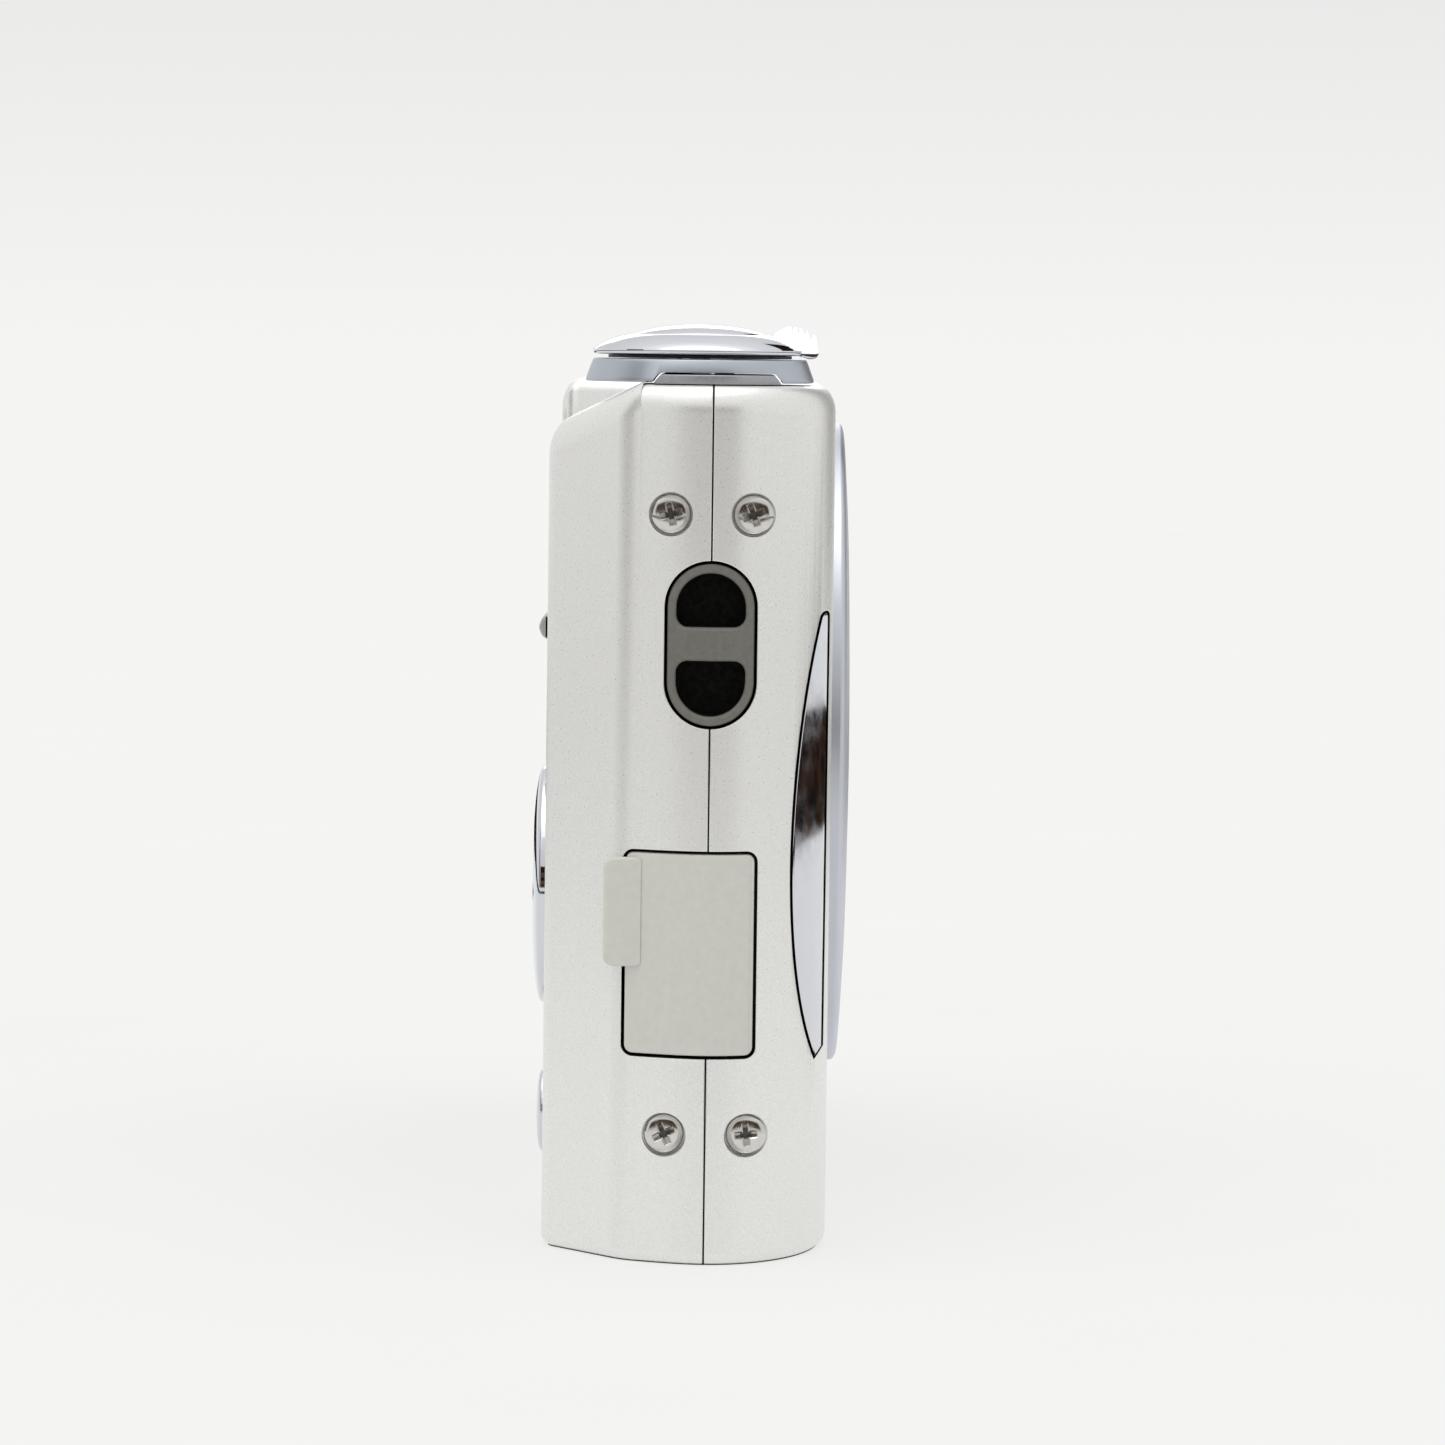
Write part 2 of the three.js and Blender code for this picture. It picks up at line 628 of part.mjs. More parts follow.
// Rubber flap that wraps the bowed grip end, with a finger tab raised over the rear facet.
function makeJackCover() {
  const window = roundedRectangle(JACK_REAR, JACK_FRONT, JACK_BOTTOM, JACK_TOP, 0.6);
  const flap = lengthwise(window, GRIP_X - 1, GRIP_X + 5, { offset: -0.22 })
    .intersect(cut(casingWalls(0), casingWalls(-JACK_COVER_THICKNESS)));
  const tab = roundedRectangle(TAB_REAR, TAB_FRONT, TAB_BOTTOM, TAB_TOP, 0.7);
  const lip = lengthwise(tab, GRIP_X - 1, GRIP_X + 5)
    .intersect(cut(casingWalls(TAB_RISE), casingWalls(0.12)));
  const root = block(GRIP_X - 1, GRIP_X + 5, JACK_REAR + 0.35, TAB_FRONT, TAB_BOTTOM, TAB_TOP)
    .intersect(cut(casingWalls(0.4), casingWalls(-0.6)));
  return join(flap, root, lip);
}

subPart('jack_cover', makeJackCover(), 'paleRubber');

function makeGripAccent() {
  const reach = lengthwise(accentOutline(), GRIP_X - 1, GRIP_X + ACCENT_REACH, { steps: ACCENT_STEPS });
  return reach.intersect(cut(casingWalls(0.1), casingWalls(-ACCENT_THICKNESS)));
}

subPart('grip_accent', makeGripAccent(), 'chrome');

function makeJackPlate() {
  const plate = block(GRIP_X + 3.6, GRIP_X + 4.3, -5, 3.9, 13.4, 29);
  const usbHole = block(GRIP_X, GRIP_X + 6, -3.35, 1.05, 19.45, 27.55);
  const powerHole = turnedAlong(rod(2.35, GRIP_X, GRIP_X + 6), -1.15, 16.7, 16);
  return cut(plate, usbHole, powerHole);
}

function makeUsbSocket() {
  const shell = block(GRIP_X + 3.2, GRIP_X + 9, -3.15, 0.85, 19.65, 27.35);
  const mouth = block(GRIP_X + 3, GRIP_X + 8, -2.8, 0.5, 20, 27);
  const tongue = block(GRIP_X + 4, GRIP_X + 8.3, -1.5, -0.8, 21, 26);
  return join(cut(shell, mouth), tongue);
}

function makePowerSocket() {
  const barrel = [[1.4, -42.9], [2.1, -42.9], [2.1, -37], [0, -37], [0, -41.5], [0.5, -41.5],
    [0.5, -38], [1.4, -38]];
  return turnedAlong(barrel, -1.15, 16.7, 16);
}

subPart('jack_plate', makeJackPlate(), 'blackPlastic');
subPart('usb_socket', makeUsbSocket(), 'steel');
subPart('power_socket', makePowerSocket(), 'blackPlastic');

// ---------------------------------------------------------------- screws

// Pan-head screw with a cross recess; its seat is at the origin and its head faces +Z.
function makeScrew() {
  const body = turnedUp([
    [0, -3],
    [SCREW_SHANK_RADIUS - 0.3, -3],
    [SCREW_SHANK_RADIUS, -2.6],
    [SCREW_SHANK_RADIUS, 0.06],
    [SCREW_HEAD_RADIUS, 0.06],
    [SCREW_HEAD_RADIUS, 0.4],
    [1.1, 0.62],
    [0.6, 0.74],
    [0, 0.78],
  ], 0, 0, 14);
  const slot = [0.8, 0.25, 0.3];
  return cut(
    body,
    block(-slot[0], slot[0], -slot[1], slot[1], slot[2], 1),
    block(-slot[1], slot[1], -slot[0], slot[0], slot[2], 1),
  );
}

const SCREW = makeScrew();

function placeScrew(name, x, depth, z, tilt, turn) {
  const mesh = subPart(name, SCREW, 'nickel');
  mesh.position.set(x, -depth, z);
  mesh.rotation.set(...tilt);
  mesh.rotateZ(turn);
}

const CORNERS = [
  ['upper_front', SIDE_SCREW_DEPTH, SIDE_SCREW_HEIGHTS[0]],
  ['upper_rear', -SIDE_SCREW_DEPTH, SIDE_SCREW_HEIGHTS[0]],
  ['lower_front', SIDE_SCREW_DEPTH, SIDE_SCREW_HEIGHTS[1]],
  ['lower_rear', -SIDE_SCREW_DEPTH, SIDE_SCREW_HEIGHTS[1]],
];

CORNERS.forEach(([corner, depth, z], i) => {
  const turn = 0.2 + 0.15 * (i % 3);
  placeScrew(`grip_screw_${corner}`, GRIP_X + GRIP_SCREW_SEAT, depth, z, [0, -Math.PI / 2, 0], turn);
  placeScrew(`far_screw_${corner}`, FAR_X - FAR_SCREW_SEAT, depth, z, [0, Math.PI / 2, 0], turn);
});

BASE_SCREWS.forEach(([x, depth], i) => {
  placeScrew(`base_screw_${i + 1}`, x, depth, BASE_SCREW_SEAT, [Math.PI, 0, 0], 0.4 * i);
});

// ---------------------------------------------------------------- lens

const lens = assembly(LENS_X, 0, LENS_Z);

const BEZEL_PROFILE = [
  [15.35, 6.6],
  [16.3, 6.6],
  [16.3, FRONT + 0.05],
  [BEZEL_RADIUS, FRONT + 0.05],
  [BEZEL_RADIUS, FRONT + 1.05],
  [BEZEL_RADIUS - 0.3, FRONT + 1.3],
  [21.5, FRONT + 1.5],
  [18.5, FRONT + 1.68],
  [16, FRONT + 1.78],
  [15.5, FRONT + 1.74],
  [15.35, FRONT + 1.55],
];

const OUTER_TUBE_PROFILE = [
  [13.6, -4.4],
  [TUBE_OUTER_RADIUS, -4.4],
  [TUBE_OUTER_RADIUS, 10.05],
  [TUBE_OUTER_RADIUS - 0.2, 10.2],
  [13.1, 10.3],
  [TUBE_INNER_RADIUS + 0.3, 10.2],
  [TUBE_INNER_RADIUS + 0.3, 9.4],
  [13.6, 9.4],
];

const INNER_TUBE_PROFILE = [
  [11.6, -3.9],
  [13.3, -3.9],
  [13.3, -3.2],
  [TUBE_INNER_RADIUS, -3.2],
  [TUBE_INNER_RADIUS, 10.15],
  [TUBE_INNER_RADIUS - 0.2, 10.3],
  [11.6, 10.35],
];

const FACE_PROFILE = [
  [LENS_MOUTH_RADIUS + 1, 9.25],
  [11.4, 9.25],
  [11.4, 10.3],
  [9.5, 10.4],
  [7, 10.25],
  [LENS_MOUTH_RADIUS, 9.7],
  [LENS_MOUTH_RADIUS, 9.45],
];

const CELL_PROFILE = [
  [4.5, -2],
  [11.3, -2],
  [11.3, 8.2],
  [6.3, 8.2],
  [6.3, 3],
  [4.5, 1],
];

const FRONT_GLASS_PROFILE = [[0, 3.8], [6, 4.4], [6, 6.4], [4.4, 7.3], [2.3, 7.9], [0, 8.1]];
const REAR_GLASS_PROFILE = [[0, -1.7], [2.4, -1.5], [4.2, -0.9], [4.2, 0], [2.4, 0.5], [0, 0.7]];

// The fixed face of the inner tube, with the two pins that the shutter blades swing on.
function makeLensFace() {
  const pins = [-BLADE_PIVOT, BLADE_PIVOT].map((x) => turnedForward(rod(0.5, 8.4, 9.4), x, 0, 10));
  return join(turnedForward(FACE_PROFILE, 0, 0, 36), ...pins);
}

// Half-round blade with an arm out to its pivot; the lower blade is the upper one turned round.
function makeBlade(side) {
  const half = new THREE.Shape();
  half.moveTo(-BLADE_RADIUS, 0.05);
  half.lineTo(BLADE_RADIUS, 0.05);
  half.absarc(0, 0.05, BLADE_RADIUS, 0, Math.PI);
  const bladeFrom = 8.65;
  const bladeTo = 9.15;
  const disc = swept(half, bladeFrom, bladeTo);
  const arm = block(-BLADE_PIVOT, -4, bladeFrom, bladeTo, 0.05, 1.3);
  const eye = turnedForward(rod(1.3, bladeFrom, bladeTo), -BLADE_PIVOT, 0, 16);
  const bore = turnedForward(rod(0.65, 8, 10), -BLADE_PIVOT, 0, 12);
  const blade = cut(join(disc, arm, eye), bore);
  return side > 0 ? blade : blade.rotate([0, 180, 0]);
}

// Barrel that guides the tubes, with a shelf for the zoom motor.
function makeLensHousing() {
  const barrel = turnedForward(ring(15.3, 16.2, -4.9, 6.2), 0, 0, 36);
  const shelf = block(9.5, 23.5, -4.9, -3.5, 11, 21);
  const bore = turnedForward(rod(15.3, -6, 7), 0, 0, 36);
  return cut(join(barrel, shelf), bore);
}

subPart('lens_bezel', turnedForward(BEZEL_PROFILE, 0, 0, 44), 'blueChrome', lens);
subPart('lens_tube_outer', turnedForward(OUTER_TUBE_PROFILE, 0, 0, 36), 'anodised', lens);
subPart('lens_tube_inner', turnedForward(INNER_TUBE_PROFILE, 0, 0, 32), 'anodised', lens);
subPart('lens_face', makeLensFace(), 'blackPlastic', lens);
subPart('barrier_blade_upper', makeBlade(1), 'blackPlastic', lens);
subPart('barrier_blade_lower', makeBlade(-1), 'blackPlastic', lens);
subPart('lens_cell', turnedForward(CELL_PROFILE, 0, 0, 24), 'blackPlastic', lens);
subPart('front_lens', turnedForward(FRONT_GLASS_PROFILE, 0, 0, 20), 'glass', lens);
subPart('rear_lens', turnedForward(REAR_GLASS_PROFILE, 0, 0, 16), 'glass', lens);
subPart('lens_housing', makeLensHousing(), 'blackPlastic', lens);
subPart('zoom_motor', turnedForward(rod(4.2, -3.2, 6), 18.5, 16), 'steel', lens);
subPart('sensor_board', block(-11, 11, -5.8, -5.2, -9, 9), 'circuitBoard', lens);
subPart('image_sensor', block(-4.5, 4.5, -5.1, -4.5, -3.5, 3.5), 'glass', lens);

// ---------------------------------------------------------------- front windows

function makeFlashWindow() {
  const outline = roundedRectangle(FLASH.left, FLASH.right, FLASH.bottom, FLASH.top, 1);
  return swept(outline, 7.25, FRONT + 0.1, { fillet: { across: 0.15, along: 0.15, steps: 1 } });
}

function makeFlashReflector() {
  const shell = block(FLASH.left + 0.3, FLASH.right - 0.3, 3.2, 7, FLASH.bottom + 0.3, FLASH.top - 0.3);
  const middle = (FLASH.bottom + FLASH.top) / 2;
  const trough = polygon([[4, middle - 0.8], [7.5, middle - 2.5], [7.5, middle + 2.5], [4, middle + 0.8]]);
  return cut(shell, lengthwise(trough, FLASH.left + 0.8, FLASH.right - 0.8));
}

subPart('flash_window', makeFlashWindow(), 'clearPlastic');
subPart('flash_reflector', makeFlashReflector(), 'chrome');
subPart('focus_lamp', turnedForward([
  [0, 6.9],
  [LAMP_RADIUS, 6.9],
  [LAMP_RADIUS, FRONT],
  [1.1, FRONT + 0.2],
  [0, FRONT + 0.3],
], LAMP_X, LAMP_Z), 'clearPlastic');

// ---------------------------------------------------------------- rear: screen and controls

function makeScreenWindow() {
  const outline = roundedRectangle(SCREEN.left, SCREEN.right, SCREEN.bottom, SCREEN.top, 1.5);
  return swept(outline, REAR + 0.05, -10.1, { fillet: { across: 0.2, along: 0.15, steps: 1 } });
}

subPart('screen_window', makeScreenWindow(), 'screenPlastic');
subPart('screen_panel', block(-12.6, 39, -9.85, -7.7, 9, 50), 'blackPlastic');

const pad = assembly(PAD_X, 0, PAD_Z);

const PAD_PROFILE = [
  [3.5, -9.1],
  [9.4, -9.1],
  [9.4, -9.55],
  [PAD_RADIUS, -9.55],
  [PAD_RADIUS, -11.7],
  [8.2, -11.88],
  [7.3, -12.1],
  [6.2, -12.25],
  [5, -12.3],
  [4, -12.15],
  [3.5, -11.9],
];

const OK_PROFILE = [
  [0, -12.2],
  [2.2, -12.14],
  [3.1, -11.95],
  [3.3, -11.7],
  [3.3, -9.5],
  [1.6, -9.5],
  [1.6, -8.75],
  [0, -8.75],
];

// Domed button with a flange behind the cover and a stem to its switch.
function buttonProfile(radius, rise) {
  return [
    [0, REAR - rise],
    [0.55 * radius, REAR - 0.9 * rise],
    [0.88 * radius, REAR - 0.5 * rise],
    [radius, REAR + 0.1],
    [radius, -9.65],
    [radius + 0.55, -9.65],
    [radius + 0.55, -9.25],
    [1.2, -9.25],
    [1.2, -8.75],
    [0, -8.75],
  ];
}

subPart('pad_carrier', turnedForward(ring(2.4, 4.4, -8.85, -8.45), 0, 0, 20), 'blackPlastic', pad);
subPart('pad_ring', turnedForward(PAD_PROFILE, 0, 0, 36), 'chrome', pad);
subPart('ok_button', turnedForward(OK_PROFILE, 0, 0, 20), 'chrome', pad);

for (const [name, { x, z, radius, rise }] of Object.entries(SMALL_BUTTONS)) {
  subPart(name, turnedForward(buttonProfile(radius, rise), x, z), 'chrome');
}

function makeModeSlider() {
  const knob = swept(
    roundedRectangle(SLIDER_X - 3, SLIDER_X + 3, SLIDER_Z - 0.93, SLIDER_Z + 0.93, 0.5),
    -12.1,
    -11.42,
    { fillet: { across: 0.3, along: 0.25, steps: 1 } },
  );
  const neck = block(SLIDER_X - 2, SLIDER_X + 2, -11.6, -9.7, SLIDER_Z - 0.55, SLIDER_Z + 0.55);
  const foot = block(SLIDER_X - 5, SLIDER_X + 5, -9.85, -9.35, SLIDER_Z - 2, SLIDER_Z + 2);
  return join(knob, neck, foot);
}

subPart('mode_slider', makeModeSlider(), 'greyPlastic');
subPart('status_lamp', turnedForward(rod(0.9, -11.45, -10.1), STATUS_X, STATUS_Z, 16), 'clearPlastic');
subPart('button_board', block(-38.3, -15, -8.2, -7.7, 4.5, 47), 'circuitBoard');

// ---------------------------------------------------------------- base: door, bush

function makeBatteryDoor() {
  const outline = roundedRectangle(DOOR.left, DOOR.right, -DOOR.front, -DOOR.rear, 1.2);
  const panel = risen(outline, DOOR_BOTTOM, DOOR_TOP);
  const latchPocket = block(-36.6, -31.2, -2.6, 2.6, 0, 0.95);
  return cut(panel, latchPocket);
}

subPart('battery_door', makeBatteryDoor(), 'silverPaint');
subPart('door_latch', block(-36.4, -33, -2.4, 2.4, 0.35, 0.8), 'greyPlastic');
subPart('tripod_bush', turnedUp([
  [TRIPOD_BORE_RADIUS, 0],
  [TRIPOD_OUTER_RADIUS, 0],
  [TRIPOD_OUTER_RADIUS, 6.6],
  [0, 6.6],
  [0, 5.8],
  [TRIPOD_BORE_RADIUS, 5.8],
], TRIPOD_X, TRIPOD_DEPTH, 24), 'steel');

// ---------------------------------------------------------------- inside

// Cage with a battery bay and a card slot, both open at the bottom.
function makeBatteryCage() {
  const batterySide = block(-36.4, -8.7, -2.2, 6.1, 2.2, 44.4);
  const cardSide = block(-35, -9.5, -5.65, -2, 2.2, 37);
  const batteryBay = block(-36, -9.1, -1.7, 5.7, 1, 43.6);
  const cardSlot = block(-34.4, -10, -5.25, -2.85, 1, 36.2);
  return cut(join(batterySide, cardSide), batteryBay, cardSlot);
}

subPart('battery_cage', makeBatteryCage(), 'blackPlastic');
subPart('battery', block(-35.8, -9.3, -1.5, 5.5, 3, 43), 'batteryWrap');
subPart('memory_card', block(-34.2, -10.2, -5.1, -3, 3.4, 35.4), 'blackPlastic');

function makeMainBoard() {
  const board = block(-36, 40, -7, -6.3, 7.5, 54);
  const lowNotch = block(-38, -20, -8, -5, 3, 14);
  const farNotch = block(30, 42, -8, -5, 44, 56);
  return cut(board, lowNotch, farNotch);
}

function makeChassis() {
  const plate = block(-12, 40, -7.55, -7.2, 5, 55);
  const window = block(-6, 34, -8, -7, 14, 46);
  const foot = block(14, 27, -7.55, -2, 5, 5.4);
  return join(cut(plate, window), foot);
}

subPart('main_board', makeMainBoard(), 'circuitBoard');
subPart('chassis', makeChassis(), 'steel');
subPart('flash_capacitor', turnedUp(rod(4, 13, 41), 34, 1.8), 'batteryWrap');
subPart('speaker', turnedUp(rod(4.6, 54.4, 57.6), SPEAKER_X, 0), 'blackPlastic');

export default part;
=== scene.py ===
"""The looks of the compact digital camera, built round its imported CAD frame.

Shapes are worked out in millimetres. "Depth" is the distance forward of the plane where the front
and rear covers meet, as in the CAD source; Y runs the other way, from the front to the rear.
"""
import math

import bmesh
import bpy
from mathutils import Matrix, Quaternion, Vector


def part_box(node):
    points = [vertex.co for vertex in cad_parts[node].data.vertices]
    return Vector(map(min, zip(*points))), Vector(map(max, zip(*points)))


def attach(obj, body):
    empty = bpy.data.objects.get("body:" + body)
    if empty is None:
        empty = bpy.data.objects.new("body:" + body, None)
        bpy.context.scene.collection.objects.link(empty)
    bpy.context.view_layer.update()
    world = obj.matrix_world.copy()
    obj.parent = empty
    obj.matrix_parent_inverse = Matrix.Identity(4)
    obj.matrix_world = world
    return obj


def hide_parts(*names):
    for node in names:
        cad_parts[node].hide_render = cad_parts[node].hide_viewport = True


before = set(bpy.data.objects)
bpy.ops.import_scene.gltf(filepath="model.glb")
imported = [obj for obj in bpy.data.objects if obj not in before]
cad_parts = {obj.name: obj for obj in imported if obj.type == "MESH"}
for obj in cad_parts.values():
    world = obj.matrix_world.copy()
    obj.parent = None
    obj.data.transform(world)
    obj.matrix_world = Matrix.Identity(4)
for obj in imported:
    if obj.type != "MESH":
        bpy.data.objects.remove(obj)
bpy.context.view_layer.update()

MM = 0.001


# --- places taken from the frame

def span(node):
    """Lowest and highest corner of a CAD node, in millimetres."""
    low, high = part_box(node)
    return low / MM, high / MM


def middle(node):
    low, high = span(node)
    return (low + high) / 2


front_low, front_high = span("front_cover")
rear_low, rear_high = span("rear_cover")
PARTING_Y = (front_high.y + rear_low.y) / 2
SEAM = rear_low.y - front_high.y
GRIP_X = front_low.x
FAR_X = front_high.x
TOP = front_high.z
FRONT = PARTING_Y - front_low.y
REAR = PARTING_Y - rear_high.y


def depth_span(node):
    """Rearmost and foremost depth of a CAD node."""
    low, high = span(node)
    return PARTING_Y - high.y, PARTING_Y - low.y


# Casing
WALL = 1.3
ROOF = 1.6
FLOOR = 1.4
BASE_ROUND = 0.9
EDGE_ACROSS = 1.25
EDGE_DOWN = 1.9
LEDGE_EDGE = -5.1
LEDGE_FALL = 0.49
LEDGE_END_X = -6
LEDGE_END_RUN = 2.5
BEYOND = 6

# Places of the sub-parts
RELEASE = middle("zoom_collar")
RELEASE_DEPTH = PARTING_Y - RELEASE.y
LENS = middle("lens_bezel")
PAD = middle("pad_ring")
FIT_GAP = 0.2


# --- outlines

def arc(centre, radii, start, end, steps=16):
    """Points along an ellipse, with angles in quarter turns."""
    points = []
    for i in range(steps + 1):
        angle = math.pi / 2 * (start + (end - start) * i / steps)
        points.append((centre[0] + radii[0] * math.cos(angle), centre[1] + radii[1] * math.sin(angle)))
    return points


def bezier(points, steps=12):
    """Points along a Bezier curve through its end points."""
    found = []
    for i in range(steps + 1):
        t = i / steps
        row = [Vector(p) for p in points]
        while len(row) > 1:
            row = [a.lerp(b, t) for a, b in zip(row, row[1:])]
        found.append(tuple(row[0]))
    return found


def without_repeats(outline, closed=True):
    kept = []
    for p in outline:
        if not kept or (Vector(p) - Vector(kept[-1])).length > 1e-4:
            kept.append(tuple(p))
    if closed and (Vector(kept[0]) - Vector(kept[-1])).length < 1e-4:
        kept.pop()
    return kept


def grown(outline, distance):
    """A counter-clockwise outline moved outward by a distance."""
    if not distance:
        return list(outline)
    moved = []
    count = len(outline)
    for i in range(count):
        before, here, after = (Vector(outline[j % count]) for j in (i - 1, i, i + 1))
        first = (here - before).normalized()
        second = (after - here).normalized()
        normal_one = Vector((first.y, -first.x))
        normal_two = Vector((second.y, -second.x))
        both = normal_one + normal_two
        both *= 2 / both.length_squared
        moved.append(tuple(here + distance * both))
    return moved


def rounded_rectangle(a0, a1, b0, b1, radius, steps=6):
    points = []
    corners = [(a1, b0, -1), (a1, b1, 0), (a0, b1, 1), (a0, b0, 2)]
    for a, b, start in corners:
        centre = (a + (radius if a == a0 else -radius), b + (radius if b == b0 else -radius))
        points += arc(centre, (radius, radius), start, start + 1, steps)
    return without_repeats(points)


def stadium(a0, a1, b0, b1, steps=20):
    """Rectangle with fully round ends at its two short sides."""
    radius = min(a1 - a0, b1 - b0) / 2
    start = -1 if a1 - a0 > b1 - b0 else 0
    return without_repeats(
        arc((a1 - radius, b1 - radius), (radius, radius), start, start + 2, steps)
        + arc((a0 + radius, b0 + radius), (radius, radius), start + 2, start + 4, steps)
    )


def eased(points, radius, steps=4, closed=True):
    """Polyline with every corner rounded off, from so far before it to so far after it."""
    rounded = []
    count = len(points)
    for i, point in enumerate(points):
        here = Vector(point)
        if not closed and i in (0, count - 1):
            rounded.append(tuple(here))
            continue
        before = Vector(points[i - 1]) - here
        after = Vector(points[(i + 1) % count]) - here
        reach = min(radius, 0.45 * before.length, 0.45 * after.length)
        ends = here + before.normalized() * reach, here + after.normalized() * reach
        rounded += bezier([ends[0], here, ends[1]], steps)
    return without_repeats(rounded, closed)


def casing_plan():
    """The casing from above, in x and the distance behind the parting plane."""
    ridge = (GRIP_X + 1.95, 5.95)
    slope = 1.16
    facet_x = ridge[0] + slope * (-REAR - ridge[1])
    plan = arc((GRIP_X + 12, 0), (12, FRONT), 2, 3, 44)
    plan += arc((FAR_X - 7, 0), (7, FRONT), 3, 4, 30)
    plan += arc((FAR_X - 5, 0), (5, -REAR), 0, 1, 30)
    plan += bezier([(facet_x + 0.85, -REAR), (facet_x, -REAR), (facet_x - 0.66, -REAR - 0.57)], 10)
    plan += bezier([(ridge[0] + 0.83, ridge[1] + 0.72), ridge, (GRIP_X + 1.5, 5)], 12)
    plan += bezier([(GRIP_X + 1.1, 4.1), (GRIP_X, 1.6), (GRIP_X, 0)], 14)
    return without_repeats(plan)


PLAN = casing_plan()


# --- solids

UP = Matrix.Translation((0, PARTING_Y, 0))
FORWARD = Matrix(((1, 0, 0, 0), (0, 0, -1, PARTING_Y), (0, 1, 0, 0), (0, 0, 0, 1)))
ENDWARD = Matrix(((0, 0, -1, 0), (-1, 0, 0, PARTING_Y), (0, 1, 0, 0), (0, 0, 0, 1)))
OUTSIDE, INSIDE, LINING = 0, 1, 2


def stacked(outline, levels):
    """Solid with an outline's shape at each (growth, height) level, lowest first."""
    bm = bmesh.new()
    rings = []
    for growth, height in levels:
        rings.append([bm.verts.new((a, b, height)) for a, b in grown(outline, growth)])
    for low, high in zip(rings, rings[1:]):
        for i in range(len(outline)):
            bm.faces.new((low[i - 1], low[i], high[i], high[i - 1]))
    bm.faces.new(reversed(rings[0]))
    bm.faces.new(rings[-1])
    return bm


def levels(start, end, low=(0, 0), high=(0, 0), growth=0, steps=6):
    """Levels of a prism whose ends are rounded so far across and so far along."""
    found = []
    for i in range(steps + 1 if low[1] else 1):
        angle = math.pi / 2 * i / steps
        found.append((growth - low[0] * (1 - math.sin(angle)), start + low[1] * (1 - math.cos(angle))))
    for i in range(steps + 1 if high[1] else 1):
        angle = math.pi / 2 * i / steps
        found.append((growth - high[0] * (1 - math.cos(angle)), end - high[1] * (1 - math.sin(angle))))
    return found


def prism(outline, start, end, growth=0, ease=0):
    return stacked(outline, levels(start, end, (ease, ease), (ease, ease), growth, 4))


def turned(profile, segments=96):
    """Solid turned about its height axis from (radius, height) points."""
    bm = bmesh.new()
    rings = []
    for radius, height in profile:
        if radius < 1e-6:
            rings.append([bm.verts.new((0, 0, height))])
        else:
            angles = [2 * math.pi * i / segments for i in range(segments)]
            ring = [(radius * math.cos(a), radius * math.sin(a), height) for a in angles]
            rings.append([bm.verts.new(point) for point in ring])
    for one, two in zip(rings, rings[1:] + rings[:1]):
        if len(one) == len(two) == 1:
            continue
        for i in range(segments):
            corners = (
                one[(i - 1) % len(one)], one[i % len(one)], two[i % len(two)], two[(i - 1) % len(two)],
            )
            if len(one) == 1:
                corners = corners[1:]
            elif len(two) == 1:
                corners = corners[:3]
            bm.faces.new(corners)
    return bm


def box(x0, x1, depth0, depth1, z0, z1):
    """Box between two x, two depths and two heights, already in place."""
    bm = bmesh.new()
    bmesh.ops.create_cube(bm, size=1)
    size = Matrix.Diagonal((x1 - x0, depth1 - depth0, z1 - z0, 1))
    centre = ((x0 + x1) / 2, PARTING_Y - (depth0 + depth1) / 2, (z0 + z1) / 2)
    bmesh.ops.transform(bm, matrix=Matrix.Translation(centre) @ size, verts=bm.verts)
    return bm


def at(axis, a=0.0, b=0.0, along=0.0):
    """Place of a solid whose own origin is at (a, b) on an axis matrix."""
    return axis @ Matrix.Translation((a, b, along))


def scratch(bm, place=Matrix.Identity(4), surface=OUTSIDE):
    """Working object holding a solid, with its faces marked as one kind of surface."""
    bmesh.ops.transform(bm, matrix=place, verts=bm.verts)
    bmesh.ops.recalc_face_normals(bm, faces=bm.faces)
    for face in bm.faces:
        face.material_index = surface
    mesh = bpy.data.meshes.new("scratch")
    bm.to_mesh(mesh)
    bm.free()
    for name in ("outside", "inside", "lining"):
        mesh.materials.append(bpy.data.materials.get(name) or bpy.data.materials.new(name))
    obj = bpy.data.objects.new("scratch", mesh)
    bpy.context.scene.collection.objects.link(obj)
    return obj


def discard(obj):
    mesh = obj.data
    bpy.data.objects.remove(obj)
    bpy.data.meshes.remove(mesh)


def combine(base, tool, operation):
    """Cuts, joins or intersects a working object with another, which is used up."""
    modifier = base.modifiers.new("combine", "BOOLEAN")
    modifier.operation = operation
    modifier.object = tool
    modifier.solver = "MANIFOLD"
    evaluated = base.evaluated_get(bpy.context.evaluated_depsgraph_get())
    mesh = bpy.data.meshes.new_from_object(evaluated)
    base.modifiers.clear()
    old = base.data
    base.data = mesh
    bpy.data.meshes.remove(old)
    discard(tool)
    if not mesh.polygons:
        raise RuntimeError("a boolean left nothing")
    return base


def cut(base, *tools):
    for tool in tools:
        combine(base, tool, "DIFFERENCE")
    return base


def join(base, *tools):
    for tool in tools:
        combine(base, tool, "UNION")
    return base


def keep(base, *tools):
    for tool in tools:
        combine(base, tool, "INTERSECT")
    return base


